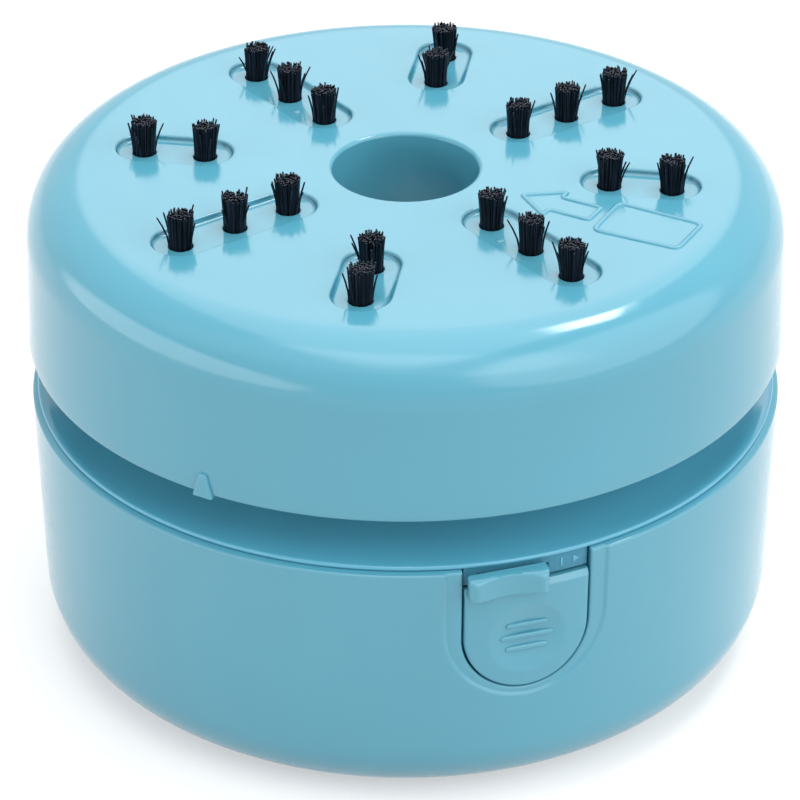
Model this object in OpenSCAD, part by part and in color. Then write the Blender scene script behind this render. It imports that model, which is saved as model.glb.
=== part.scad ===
// Desktop mini vacuum cleaner, stood brush side up.
// Origin at the centre of the flat face it rests on, +Z up, the push button towards -Y.

/* [Housing] */
// Outer diameter of the round housing
body_d = 86; // [84:1:94]
// Height of the cup-shaped shell, up to the parting line
shell_h = 31.5; // [31.5:0.5:36]
// Open gap between the flange and the skirt of the brush base
waist_gap = 6.6; // [5.6:0.1:9]
// Height of the brush base, from its skirt edge to its plate
base_h = 19.6; // [19:0.2:24]
// Wall thickness of the moulded housings
wall = 2; // [1.7:0.1:2.2]
// Thickness of the brush plate
plate_t = 2.4; // [2.2:0.1:3]
// How much the brush base narrows from its skirt to its rounded edge
base_draft = 0.4; // [0.1:0.1:0.8]
// Width of the rounded edge of the brush base
base_round_w = 6.4; // [5:0.1:7]
// Height of the rounded edge of the brush base
base_round_h = 6.9; // [5:0.1:8]
// How much the shell narrows from its rim to its rounded edge
shell_draft = 0.5; // [0.1:0.1:0.8]
// Width of the rounded edge of the shell
shell_round_w = 9.85; // [8:0.05:10.5]
// Height of the rounded edge of the shell
shell_round_h = 8.2; // [6:0.1:9]

/* [Neck and bayonet] */
// Width of the hollow-curved flare, from the rim in to the neck
flare_w = 8.6; // [8:0.1:9]
// Wall thickness of the neck
neck_wall = 2; // [1.8:0.1:2.4]
// How far the neck reaches up inside the brush base
neck_grip = 7.7; // [7.4:0.1:9]
// Thickness of the deck that closes the neck
deck_t = 1.8; // [1.6:0.1:2.4]
// Number of bayonet lugs on the neck
lug_count = 4; // [3:1:5]
// Width of a bayonet lug, in degrees
lug_angle = 8; // [6:1:10]
// Turn of the brush base from locked to free, in degrees
twist_angle = 22; // [16:1:26]
// Number of exhaust ports round the neck
port_count = 20; // [14:1:22]
// Width of an exhaust port
port_w = 5.6; // [4:0.1:6.4]

/* [Suction hole] */
// Diameter of the suction hole
hole_d = 16.4; // [14:0.2:18]
// Radius of the rounded lip of the suction hole
hole_lip = 0.5; // [0.3:0.1:0.8]
// Wall thickness of the suction tube
tube_wall = 1.8; // [1.4:0.1:2]

/* [Brushes] */
// Diameter of a tuft at its foot
tuft_d = 2.6; // [2.2:0.1:2.8]
// Distance of the outermost tufts from the edge of the flat plate
tuft_margin = 6.3; // [6.2:0.1:7.2]
// Web of plate between the suction hole and the inner end of a slot
slot_web = 4.05; // [4:0.05:5]
// Height of the bristle tips over the plate
bristle_h = 3.9; // [3:0.1:6]
// How much wider a tuft is at its tips
tuft_flare = 1.35; // [1.1:0.05:1.5]
// Width of the slots that hold the tufts
slot_w = 6.3; // [5:0.1:6.4]
// Depth of the slots
slot_depth = 1.1; // [0.6:0.1:1.3]
// Direction of the first slot, in degrees from +X
slot_turn = -26.9; // [-45:0.1:0]

/* [Button and switch] */
// Width of the push button
button_w = 14; // [12:0.2:15]
// Height of the rounded lower end of the push button over the table
button_z = 16; // [15.6:0.1:17]
// Travel of the push button
button_travel = 1.1; // [0.8:0.1:1.2]
// Diameter of the finger dish in the button
dish_d = 8.8; // [6:0.2:9]
// Depth of the finger dish
dish_depth = 0.5; // [0.3:0.1:0.7]
// Width of the slide knob
knob_w = 8.9; // [8:0.1:9]
// Travel of the slide knob
knob_travel = 4.5; // [3.5:0.1:4.6]
// How far the knob stands out of the housing
knob_out = 1.2; // [0.8:0.1:2]
// Depth of the scoop in the front of the knob
knob_scoop = 0.8; // [0.3:0.1:0.9]

/* [Fan and motor] */
// Room round the impeller, out to the bore of the neck
fan_margin = 10.4; // [9.4:0.2:13]
// Height of the fan blades
blade_h = 3.2; // [2.6:0.1:3.4]
// Number of fan blades
blade_count = 9; // [7:1:12]
// Diameter of the intake eye over the fan
eye_d = 16; // [12:0.5:18]
// Diameter of the motor across its round sides
motor_d = 20.1; // [18:0.1:20.4]
// Thickness of the motor across its flats
motor_t = 15.1; // [14:0.1:15.4]
// Length of the steel can of the motor
can_l = 20; // [18:0.5:20]
// Length of the end cap of the motor
cap_l = 5; // [4:0.5:5]
// Diameter of the motor shaft
shaft_d = 2; // [1.5:0.1:2.3]

/* [Cells] */
// Diameter of a cell
cell_d = 14.5; // [13.5:0.1:14.5]
// Length of a cell over its nub
cell_l = 50.5; // [48:0.5:50.5]
// Length of a pressed battery spring
spring_l = 3.6; // [3:0.1:3.8]

/* [Clearances] */
// Gap beside faces that slide or turn
slide_gap = 0.3; // [0.2:0.05:0.4]
// Gap round the button and the knob in the housing
cut_gap = 0.2; // [0.15:0.05:0.3]
// Radial gap of a shaft in its bearing
bearing_gap = 0.03; // [0.02:0.01:0.06]
// Gap round a pin or screw in its hole
pin_gap = 0.1; // [0.05:0.05:0.2]

/* [Hidden] */
$fn = 96;

shell_colour = [0.40, 0.72, 0.82];
bristle_colour = [0.03, 0.04, 0.06];
white_plastic = [0.90, 0.91, 0.90];
rubber_colour = [0.16, 0.17, 0.18];
steel_colour = [0.72, 0.73, 0.74];
brass_colour = [0.80, 0.64, 0.33];
foam_colour = [0.93, 0.93, 0.90];
cap_colour = [0.12, 0.12, 0.13];

eps = 0.1;
body_r = body_d / 2;
neck_r = body_r - flare_w;
neck_bore_r = neck_r - neck_wall;
hole_r = hole_d / 2;
cell_r = cell_d / 2;

// Levels, from the table up
skirt_z = shell_h + waist_gap;
plate_z = skirt_z + base_h;
ceiling_z = plate_z - plate_t;
deck_top = shell_h + deck_t;
neck_top = skirt_z + neck_grip;
seal_t = 0.45;
seal_z = neck_top + pin_gap;
tube_z = neck_top + 1.8;

// Collar of the brush base, round the neck
collar_r = neck_r + slide_gap + pin_gap;
collar_wall = 1.8;
collar_z = skirt_z + 1.9;
seat_r = neck_r - 1.4;

// Bayonet
lug_h = 1.8;
lug_r = neck_r + 1.3;
lug_z = neck_top - 3.4;

// Spigot of the frame, inside the rim of the shell
spigot_r = body_r - wall - slide_gap;
spigot_wall = 1.5;
spigot_h = 4.2;
spigot_in = spigot_r - spigot_wall;
rim_t = 0.6;

// Slots: a slot of two tufts, then a slot of three, and so on round the plate
slot_count = 8;
slot_step = 360 / slot_count;
tuft_r = body_r - base_draft - base_round_w - tuft_margin;
tuft_pitch = (tuft_r - hole_r - hole_lip - slot_w / 2 - slot_web) / 2;
function tufts_in(slot) = slot % 2 == 0 ? 2 : 3;
function slot_angle(slot) = slot_turn + slot_step * slot;
tuft_root = 3;
boss_depth = 2.4;

// Fan
fan_gap = 0.7;
fan_r = neck_bore_r - fan_margin;
fan_disc_t = 1;
fan_z = deck_top + fan_gap;
fan_hub_r = 4;
cover_z = fan_z + fan_disc_t + blade_h + fan_gap + 0.1;
cover_t = 1.4;
cover_r = neck_bore_r - slide_gap;
post_r = 2.5;
post_ring_r = neck_bore_r - 6;
post_count = 4;
cover_screw_l = 6;
holder_screw_l = 8;
screw_r = 1.1;
screw_head_r = 2;
screw_head_t = 1.2;
screw_slot_w = 0.6;
filter_z = cover_z + cover_t;
filter_h = 3.4;
pad_z = filter_z + 1.4;
pad_t = 1.2;
grid_z = pad_z + pad_t + 0.2;
grid_w = 1.4;

// Motor, hung under the deck
motor_r = motor_d / 2;
can_z = shell_h - can_l;
cap_z = can_z - cap_l;
can_wall = 0.8;
boss_r = 3.05;
boss_h = 1.6;
shaft_r = shaft_d / 2;
bush_r = 2.2;
rotor_r = motor_t / 2 - can_wall - 0.35;
rotor_l = 9;
commutator_r = 2.4;
brush_t = 0.3;
brush_w = 1.4;
brush_z = 2;
brush_inset = 2.2;

// Cells, on either side of the motor
holder_wall = 1.2;
cell_gap = 0.3;
cup_wall = 1;
cell_x = motor_t / 2 + cut_gap + cup_wall + eps + cell_gap + cell_r;
floor_rib = 1.2;
cell_z = wall + floor_rib + 0.15 + cell_r;
roof_z = cell_z + cell_r + 0.45;
roof_t = 1.4;
contact_t = 0.5;
bay_y = (cell_l + spring_l) / 2 + contact_t;
end_wall = 1.4;
contact_w = 11;
boss_x = motor_t / 2 - 2.75;
boss_y = motor_r + 8.45;
contact_foot = 4.5;
link_h = 4;
contact_head = 5;

// Button and knob, in a U-shaped opening of the shell
button_r = body_r - 0.1;
button_top = shell_h - 2.6;
button_face_top = button_top - 0.7;
window_half = button_w / 2 + cut_gap;
button_flange = 1.2;
panel_half = window_half + button_flange + cut_gap;
panel_z = button_top - 0.55;
panel_r = body_r - 0.7;
panel_foot_z = button_top + slide_gap;
dish_z = button_z + 6.3;
pocket_margin = 1.9;
pocket_depth = 0.25;
button_back = spigot_in;
button_flange_r = body_r - shell_draft - wall - slide_gap;
ridge_r = spigot_r + slide_gap + button_travel;
spring_wall_y = -(spigot_in - 5.8);
spring_wall_t = 1.5;
spring_z = dish_z;
guide_pin_r = 0.9;
spring_coil_r = 1.9;
hook_r = button_back + 0.9;
catch_r = hook_r - 0.4;
catch_z = button_z - 3.4;
catch_t = 1.5;
rear_hook_z = shell_h - 10.7;
rear_catch_z = rear_hook_z + 1.2 + slide_gap;

knob_top = shell_h - slide_gap;
knob_foot_z = button_top + 0.15;
knob_lip_z = button_top - 0.6;
knob_x = -(window_half - 0.45 - knob_w / 2);
knob_in = panel_r + slide_gap;
knob_front = body_r + knob_out;
knob_turn = asin(knob_x / knob_front);
stem_w = 3;
stem_z = knob_foot_z + 0.25;
stem_h = 1.2;
stem_x = knob_x - stem_w / 2;
switch_wall = 0.4;
switch_y = -(spigot_in - 0.8);
switch_depth = 3.2;
slider_w = 4.4;
slider_z = stem_z - 1;
switch_z = slider_z - cut_gap - switch_wall;
button_back_top = switch_z - slide_gap;
switch_half = (knob_travel + slider_w) / 2 + cut_gap + switch_wall;
switch_x = stem_x + knob_travel / 2;

function arc(cx, cy, rx, ry, a0, a1, n) =
    [for (i = [0:n]) let (a = a0 + (a1 - a0) * i / n) [cx + rx * cos(a), cy + ry * sin(a)]];

// Outline of the brush base, as radius and height
function base_outline() = concat(
    [[0, skirt_z], [body_r - 0.3, skirt_z]],
    arc(body_r - 0.3, skirt_z + 0.3, 0.3, 0.3, -60, 0, 2),
    arc(body_r - base_draft - base_round_w, plate_z - base_round_h,
        base_round_w, base_round_h, 0, 90, 14),
    [[0, plate_z]]);

function base_hollow() = concat(
    [[0, skirt_z - 1], [body_r - wall, skirt_z - 1]],
    arc(body_r - base_draft - base_round_w, plate_z - base_round_h,
        base_round_w - wall, base_round_h - plate_t, 0, 90, 8),
    [[0, ceiling_z]]);

// Outline of the shell, drawn in by an inset
function shell_outline(inset) = concat(
    [[0, inset]],
    arc(body_r - shell_draft - shell_round_w, shell_round_h,
        shell_round_w - inset, shell_round_h - inset, -90, 0, 14),
    [[body_r - 0.05 - inset, shell_h - 0.8], [body_r - 0.5 - inset, shell_h - 0.15],
     [body_r - 0.5 - inset, shell_h], [0, shell_h]]);

function shell_hollow() = concat(
    [[0, wall]],
    arc(body_r - shell_draft - shell_round_w, shell_round_h,
        shell_round_w - wall, shell_round_h - wall, -90, 0, 10),
    [[body_r - wall, shell_h + 1], [0, shell_h + 1]]);

// Outline of the frame: flange rim, hollow-curved flare, straight neck
function frame_outline() = concat(
    [[0, shell_h], [body_r - 0.25, shell_h], [body_r, shell_h + 0.25],
     [body_r, shell_h + rim_t - 0.1]],
    arc(body_r - 0.1, skirt_z + 0.5, body_r - 0.1 - neck_r, waist_gap + 0.5 - rim_t, 270, 180, 12),
    [[neck_r, neck_top - 0.4], [neck_r - 0.4, neck_top], [0, neck_top]]);

module ring(r_out, r_in, z0, z1) {
    translate([0, 0, z0]) difference() {
        cylinder(r = r_out, h = z1 - z0);
        translate([0, 0, -1]) cylinder(r = r_in, h = z1 - z0 + 2);
    }
}

module disc(r, z0, z1) {
    translate([0, 0, z0]) cylinder(r = r, h = z1 - z0);
}

// A piece of a ring between two angles
module sector(r_out, r_in, a0, a1, z0, z1) {
    rotate([0, 0, a0]) rotate_extrude(angle = a1 - a0)
        translate([r_in, z0]) square([r_out - r_in, z1 - z0]);
}

module box(low, high) {
    translate(low) cube(high - low);
}

// A U that is open at the top, cut along Y between two depths
module u_prism(half_w, z0, z1, y0, y1) {
    rotate([90, 0, 0]) translate([0, 0, -y1]) linear_extrude(y1 - y0) intersection() {
        union() {
            translate([0, z0 + half_w]) circle(r = half_w);
            translate([-half_w, z0 + half_w]) square([2 * half_w, z1 - z0]);
        }
        translate([-half_w, z0]) square([2 * half_w, z1 - z0]);
    }
}

// A bar with round ends, along +X from r0 to r1
module stadium(r0, r1, width) {
    translate([r0, 0]) circle(d = width);
    translate([r1, 0]) circle(d = width);
    translate([r0, -width / 2]) square([r1 - r0, width]);
}

// The outline of the motor: a circle with two flats
module motor_shape(grow) {
    intersection() {
        circle(r = motor_r + grow);
        square([motor_t + 2 * grow, 2 * motor_d], center = true);
    }
}

// A coil of round wire along +Z that may narrow towards its free end
module coil(r0, r1, height, turns, wire_r) {
    sides = 6;
    steps = 12 * turns;
    rings = [for (i = [0:steps])
        let (t = i / steps, r = r0 + (r1 - r0) * t, z = wire_r + (height - 2 * wire_r) * t)
        for (k = [0:sides - 1])
            let (a = 360 * turns * t, b = 360 * k / sides, q = r + wire_r * cos(b))
            [q * cos(a), q * sin(a), z + wire_r * sin(b)]];
    walls = [for (i = [0:steps - 1], k = [0:sides - 1])
        let (p = i * sides + k, q = i * sides + (k + 1) % sides)
        each [[p, p + sides, q + sides], [p, q + sides, q]]];
    first = [for (k = [0:sides - 1]) k];
    last = [for (k = [0:sides - 1]) steps * sides + sides - 1 - k];
    polyhedron(points = rings, faces = concat(walls, [first], [last]), convexity = 6);
}

module pan_screw(length) {
    slot_l = 0.65 * screw_head_r;
    slot_w = screw_slot_w / 2;
    disc(screw_r, 0, length);
    difference() {
        disc(screw_head_r, -screw_head_t, 0);
        box([-slot_l, -slot_w, -screw_head_t - eps], [slot_l, slot_w, -0.6 * screw_head_t]);
        box([-slot_w, -slot_l, -screw_head_t - eps], [slot_w, slot_l, -0.6 * screw_head_t]);
    }
}

// ---- Brush base ----

module slot_shape(slot, width) {
    rotate([0, 0, slot_angle(slot)])
        stadium(tuft_r - tuft_pitch * (tufts_in(slot) - 1), tuft_r, width);
}

// Places its child at each tuft of a slot
module at_tufts(slot) {
    rotate([0, 0, slot_angle(slot)])
        for (i = [0:tufts_in(slot) - 1]) translate([tuft_r - tuft_pitch * i, 0, 0]) children();
}

module suction_bore() {
    rotate_extrude() polygon(concat(
        [[0, tube_z - 1], [hole_r, tube_z - 1]],
        arc(hole_r + hole_lip, plate_z - hole_lip, hole_lip, hole_lip, 180, 90, 5),
        [[hole_r + hole_lip, plate_z + 1], [0, plate_z + 1]]));
}

// The L-shaped way of one lug inside the collar
module bayonet_way() {
    half = lug_angle / 2 + 0.5;
    sector(lug_r + slide_gap, collar_r - 1, -half - twist_angle, half,
        lug_z - slide_gap, lug_z + lug_h + slide_gap);
    sector(lug_r + slide_gap, collar_r - 1, -half - twist_angle, half - twist_angle,
        collar_z - 1, lug_z + lug_h);
}

module index_mark() {
    mark_turn = -138;
    rotate([0, 0, mark_turn]) translate([body_r - 1, 0, skirt_z - 0.4])
        rotate([90, 0, 90]) linear_extrude(1.4)
            polygon([[-1.5, 0], [1.5, 0], [0.65, 3.4], [-0.65, 3.4]]);
}

module brush_base() {
    color(shell_colour) difference() {
        union() {
            difference() {
                rotate_extrude() polygon(base_outline());
                rotate_extrude() polygon(base_hollow());
            }
            ring(collar_r + collar_wall, collar_r, collar_z, ceiling_z + eps);
            ring(collar_r + eps, seat_r, seal_z + seal_t, ceiling_z + eps);
            ring(hole_r + tube_wall, hole_r, tube_z, ceiling_z + eps);
            for (slot = [0:slot_count - 1])
                translate([0, 0, ceiling_z - boss_depth]) linear_extrude(boss_depth + eps)
                    slot_shape(slot, tuft_d + 2.4);
            for (i = [0:slot_count - 1]) rotate([0, 0, slot_turn + slot_step * (i + 0.5)])
                box([collar_r + 1, -0.6, ceiling_z - 7], [body_r - wall - 0.2, 0.6, ceiling_z - 3]);
            index_mark();
        }
        suction_bore();
        for (slot = [0:slot_count - 1]) {
            translate([0, 0, plate_z - slot_depth]) linear_extrude(slot_depth + 1)
                slot_shape(slot, slot_w);
            at_tufts(slot) translate([0, 0, plate_z - slot_depth - tuft_root])
                cylinder(d = tuft_d + pin_gap, h = tuft_root + 1);
        }
        for (i = [0:lug_count - 1]) rotate([0, 0, 360 / lug_count * (i + 0.5)]) bayonet_way();
    }
}

// ---- Bristles ----

ring_strands = [1, 7, 14];
ring_radii = [0, 0.2 * tuft_d, 0.4 * tuft_d];
strand_w = 0.17;
strands_total = slot_count / 2 * 5 * (ring_strands[0] + ring_strands[1] + ring_strands[2]);
echo(strands_total = strands_total);

// One strand of three sides, leaning outward from its foot to its tip
module strand(foot_r, tip_r, angle, length) {
    corners = [for (level = [[foot_r, -0.3], [tip_r, length]], k = [0:2])
        [level[0] * cos(angle) + strand_w * cos(angle + 120 * k),
         level[0] * sin(angle) + strand_w * sin(angle + 120 * k), level[1]]];
    polyhedron(points = corners, faces = [
        [0, 1, 2], [5, 4, 3],
        [0, 3, 4], [0, 4, 1], [1, 4, 5], [1, 5, 2], [2, 5, 3], [2, 3, 0]]);
}

// A tuft with its root slice; its foot is at z = 0
module tuft(seed) {
    uneven = rands(-0.35, 0.1, 22, seed);
    translate([0, 0, -tuft_root + 0.2]) cylinder(d = tuft_d, h = tuft_root - 0.2, $fn = 24);
    for (band = [0:2], i = [0:ring_strands[band] - 1]) {
        turn = 360 / ring_strands[band] * i + 25 * band;
        spread = tuft_flare + (i % 5 == 0 ? 0.1 : 0);
        strand(ring_radii[band], ring_radii[band] * spread, turn,
            slot_depth + bristle_h + uneven[i + [0, 1, 8][band]]);
    }
}

module bristle_row(slot) {
    color(bristle_colour) rotate([0, 0, slot_angle(slot)])
        for (i = [0:tufts_in(slot) - 1])
            translate([tuft_r - tuft_pitch * i, 0, plate_z - slot_depth])
                rotate([0, 0, 40 * i]) tuft(10 * slot + i);
}

module base_seal() {
    color(rubber_colour) ring(neck_r - 0.1, seat_r + 0.1, seal_z, seal_z + seal_t);
}

// ---- Filter and fan cover ----

module filter_frame() {
    color(white_plastic) {
        ring(cover_r, cover_r - 1.8, filter_z, filter_z + filter_h);
        ring(cover_r - 1.7, cover_r - 3.5, pad_z - 0.4, pad_z);
        for (a = [0, 60, 120]) rotate([0, 0, a])
            box([-cover_r + 1, -grid_w / 2, grid_z], [cover_r - 1, grid_w / 2, filter_z + filter_h]);
        for (r = [cover_r * 0.34, cover_r * 0.65])
            ring(r + grid_w, r, grid_z, filter_z + filter_h);
    }
}

module filter_pad() {
    color(foam_colour) disc(cover_r - 2, pad_z, pad_z + pad_t);
}

module at_posts() {
    for (i = [0:post_count - 1]) rotate([0, 0, 45 + 360 / post_count * i])
        translate([post_ring_r, 0, 0]) children();
}

module fan_cover() {
    color(white_plastic) difference() {
        union() {
            disc(cover_r, cover_z, cover_z + cover_t);
            rotate_extrude() polygon([
                [eye_d / 2 - 0.2, cover_z - 0.4], [eye_d / 2 + 1, cover_z - 0.4],
                [eye_d / 2 + 2, cover_z + eps], [eye_d / 2 - 0.2, cover_z + eps]]);
        }
        disc(eye_d / 2, cover_z - 1, cover_z + cover_t + 1);
        at_posts() disc(screw_r + pin_gap, cover_z - 1, cover_z + cover_t + 1);
    }
}

module cover_screws() {
    color(steel_colour) at_posts() translate([0, 0, filter_z]) mirror([0, 0, 1]) pan_screw(cover_screw_l);
}

// ---- Frame ----

module exhaust_ports() {
    for (i = [0:port_count - 1]) rotate([0, 0, 360 / port_count * i])
        box([neck_bore_r - 2, -port_w / 2, deck_top + 1.5], [neck_r + 3.4, port_w / 2, skirt_z - 0.3]);
}

// Wall behind the button, with two ribs; the button spring bears on it
module spring_wall() {
    half = 6;
    foot = spring_z - 3.4;
    rib_w = 1.2;
    box([-half, spring_wall_y, foot], [half, spring_wall_y + spring_wall_t, shell_h + eps]);
    for (side = [-1, 1]) translate([side * (half - rib_w / 2), 0, 0])
        box([-rib_w / 2, spring_wall_y - 1.6, foot], [rib_w / 2, spring_wall_y + eps, shell_h + eps]);
}

// Fixed hook opposite the button, under a catch of the shell
module rear_hook() {
    sector(spigot_in + eps, spigot_in - 1.6, 84, 96, rear_hook_z, shell_h + eps);
    sector(spigot_in + 1, spigot_in, 84, 96, rear_hook_z, rear_hook_z + 1.2);
}

module mid_frame() {
    color(shell_colour) difference() {
        union() {
            difference() {
                rotate_extrude() polygon(frame_outline());
                disc(neck_bore_r, deck_top, neck_top + 1);
                exhaust_ports();
            }
            ring(spigot_r, spigot_in, shell_h - spigot_h, shell_h + eps);
            for (i = [0:lug_count - 1]) rotate([0, 0, 360 / lug_count * (i + 0.5)])
                sector(lug_r, neck_r - 0.5, -lug_angle / 2, lug_angle / 2, lug_z, lug_z + lug_h);
            at_posts() disc(post_r, deck_top - eps, cover_z);
            for (sx = [-1, 1], sy = [-1, 1]) translate([sx * boss_x, sy * boss_y, 0])
                disc(2.6, roof_z + roof_t, shell_h + eps);
            // Panel beside the knob, in the opening of the shell
            intersection() {
                ring(panel_r, spigot_r - eps, panel_foot_z, shell_h + eps);
                box([-window_half + cut_gap, -body_r, 0], [window_half - cut_gap, 0, shell_h + 1]);
            }
            spring_wall();
            rear_hook();
        }
        // Window of the button, and the slot behind the knob
        box([-panel_half, -body_r, shell_h - spigot_h - 1], [panel_half, -spigot_in + 4, panel_z]);
        box([stem_x - stem_w / 2 - cut_gap, -body_r, stem_z - cut_gap],
            [stem_x + stem_w / 2 + knob_travel + cut_gap, -spigot_in + 2, stem_z + stem_h + cut_gap]);
        // Motor boss, guide pin and screws
        disc(boss_r + cell_gap, shell_h - 1, deck_top + 1);
        translate([0, spring_wall_y - 2, spring_z]) rotate([-90, 0, 0])
            cylinder(r = guide_pin_r + pin_gap, h = spring_wall_t + 4);
        at_posts() disc(screw_r, filter_z - cover_screw_l - 0.4, cover_z + 1);
        for (sx = [-1, 1], sy = [-1, 1]) translate([sx * boss_x, sy * boss_y, 0])
            disc(screw_r, roof_z + roof_t - 1, roof_z + holder_screw_l + roof_t);
    }
}

// ---- Fan and motor ----

// One backward-curved blade between the hub and the tip
module blade() {
    r0 = fan_hub_r + 3;
    r1 = fan_r - 0.5;
    n = 6;
    function lean(t) = 48 * t * t;
    outer = [for (i = [0:n]) let (t = i / n, r = r0 + (r1 - r0) * t, a = lean(t)) [r * cos(a), r * sin(a)]];
    inner = [for (i = [n:-1:0]) let (t = i / n, r = r0 + (r1 - r0) * t, a = lean(t) + 60 / r)
        [r * cos(a), r * sin(a)]];
    linear_extrude(blade_h + eps) polygon(concat(outer, inner));
}

module impeller() {
    color(white_plastic) difference() {
        union() {
            disc(fan_r, fan_z, fan_z + fan_disc_t);
            disc(fan_hub_r, fan_z, fan_z + fan_disc_t + blade_h);
            for (i = [0:blade_count - 1]) rotate([0, 0, 360 / blade_count * i])
                translate([0, 0, fan_z + fan_disc_t - eps]) blade();
        }
        disc(shaft_r, fan_z - 1, fan_z + fan_disc_t + blade_h + 1);
    }
}

module motor_shaft() {
    color(steel_colour) disc(shaft_r, cap_z - 0.9, fan_z + fan_disc_t + blade_h);
}

armature_z = can_z + (can_l - rotor_l) / 2;

module armature() {
    color(steel_colour) difference() {
        translate([0, 0, armature_z]) linear_extrude(rotor_l) difference() {
            circle(r = rotor_r);
            for (a = [30, 150, 270]) rotate(a) translate([rotor_r * 0.62, -0.6]) square([rotor_r, 1.2]);
            for (a = [30, 150, 270]) rotate(a) translate([rotor_r * 0.6, 0]) circle(r = 1.5);
        }
        disc(shaft_r, armature_z - 1, armature_z + rotor_l + 1);
    }
}

module commutator() {
    color(brass_colour) ring(commutator_r, shaft_r, cap_z + 1.6, armature_z);
}

module motor_can() {
    color(steel_colour) difference() {
        union() {
            translate([0, 0, can_z]) linear_extrude(can_l) motor_shape(0);
            disc(boss_r, shell_h - eps, shell_h + boss_h);
        }
        translate([0, 0, can_z - 1]) linear_extrude(can_l - can_wall + 1) motor_shape(-can_wall);
        disc(bush_r, shell_h - can_wall - 1, shell_h + boss_h + 1);
    }
}

module motor_magnets() {
    color(cap_colour) translate([0, 0, can_z + 2]) linear_extrude(can_l - 6) intersection() {
        difference() {
            circle(r = motor_r - can_wall);
            circle(r = rotor_r + 0.5);
        }
        for (side = [-1, 1]) translate([0, side * motor_r])
            square([motor_t - 2 * can_wall - 0.6, 10], center = true);
    }
}

module motor_end_cap() {
    color(cap_colour) difference() {
        union() {
            translate([0, 0, cap_z]) linear_extrude(cap_l) motor_shape(0);
            disc(3.2, cap_z - 1.2, cap_z + eps);
        }
        translate([0, 0, cap_z + 1.4]) linear_extrude(cap_l) motor_shape(-1.6);
        disc(bush_r, cap_z - 2, cap_z + 2);
    }
}

module front_bush() {
    color(brass_colour) ring(bush_r, shaft_r + bearing_gap, shell_h - can_wall, shell_h + boss_h);
}

module rear_bush() {
    color(brass_colour) ring(bush_r, shaft_r + bearing_gap, cap_z - 1.2, cap_z + 1.4);
}

module motor_brushes() {
    reach = motor_r - brush_inset;
    color(brass_colour) for (side = [-1, 1])
        translate([side * (commutator_r + pin_gap + brush_t / 2), 0, cap_z + brush_z])
            box([-brush_t / 2, -reach, 0], [brush_t / 2, reach, brush_w]);
}

// ---- Cells and their holder ----

module trough(side) {
    translate([side * cell_x, 0, cell_z]) rotate([90, 0, 0])
        translate([0, 0, -bay_y + 1]) linear_extrude(2 * bay_y - 2) difference() {
            union() {
                circle(r = cell_r + cell_gap + holder_wall);
                translate([-cell_r - cell_gap - holder_wall, -2])
                    square([2 * (cell_r + cell_gap + holder_wall), 2]);
            }
            translate([-20, -22]) square([40, 20]);
        }
}

module battery_holder() {
    half_x = cell_x + 6;
    color(white_plastic) difference() {
        union() {
            trough(-1);
            trough(1);
            box([-half_x, -bay_y - end_wall, roof_z], [half_x, bay_y + end_wall, roof_z + roof_t]);
            for (side = [-1, 1]) translate([0, side * (bay_y + end_wall / 2), 0])
                box([-half_x, -end_wall / 2, cell_z - 5], [half_x, end_wall / 2, roof_z + eps]);
            translate([0, 0, cap_z - 1.2]) linear_extrude(roof_z + roof_t - cap_z + 1.2)
                motor_shape(cut_gap + cup_wall);
        }
        for (side = [-1, 1]) translate([side * cell_x, 0, cell_z]) rotate([90, 0, 0])
            translate([0, 0, -bay_y]) linear_extrude(2 * bay_y) union() {
                circle(r = cell_r + cell_gap);
                translate([-cell_r - cell_gap, -12]) square([2 * (cell_r + cell_gap), 12]);
            }
        translate([0, 0, cap_z]) linear_extrude(40) motor_shape(cut_gap);
        disc(3.5, 0, cap_z + 1);
        for (sx = [-1, 1], sy = [-1, 1]) translate([sx * boss_x, sy * boss_y, 0])
            disc(screw_r + pin_gap, roof_z - 1, roof_z + roof_t + 1);
    }
}

module holder_screws() {
    color(steel_colour) for (sx = [-1, 1], sy = [-1, 1])
        translate([sx * boss_x, sy * boss_y, roof_z]) pan_screw(holder_screw_l);
}

// A cell lying along Y, its nub towards the given side
module cell(side, nub) {
    nub_l = 1;
    translate([side * cell_x, nub * (bay_y - contact_t), cell_z]) rotate([nub * 90, 0, 0])
        rotate_extrude() polygon([
            [0, 0], [2.7, 0], [2.7, nub_l], [cell_r - 0.8, nub_l], [cell_r, nub_l + 0.5],
            [cell_r, cell_l - 0.4], [cell_r - 0.4, cell_l], [0, cell_l]]);
}

module cell_left() {
    color([0.25, 0.42, 0.36]) cell(-1, -1);
}

module cell_right() {
    color([0.25, 0.42, 0.36]) cell(1, 1);
}

// A contact plate against an end wall, on its inner side
module contact(x0, x1, end) {
    y0 = end > 0 ? bay_y - contact_t : -bay_y;
    box([x0, y0, cell_z - contact_foot], [x1, y0 + contact_t, cell_z + contact_head]);
}

module link_plate() {
    color(steel_colour) {
        contact(-cell_x - contact_w / 2, -cell_x + contact_w / 2, 1);
        contact(cell_x - contact_w / 2, cell_x + contact_w / 2, 1);
        box([-cell_x, bay_y - contact_t, cell_z - link_h / 2], [cell_x, bay_y, cell_z + link_h / 2]);
    }
}

module positive_contact() {
    color(steel_colour) contact(-cell_x - contact_w / 2, -cell_x + contact_w / 2, -1);
}

module negative_contact() {
    color(steel_colour) contact(cell_x - contact_w / 2, cell_x + contact_w / 2, -1);
}

module cell_spring(side, end) {
    translate([side * cell_x, end * (bay_y - contact_t), cell_z]) rotate([end * 90, 0, 0])
        coil(4.6, 2.4, spring_l, 4, 0.3);
}

module cell_spring_left() {
    color(steel_colour) cell_spring(-1, 1);
}

module cell_spring_right() {
    color(steel_colour) cell_spring(1, -1);
}

// ---- Switch ----

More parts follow.
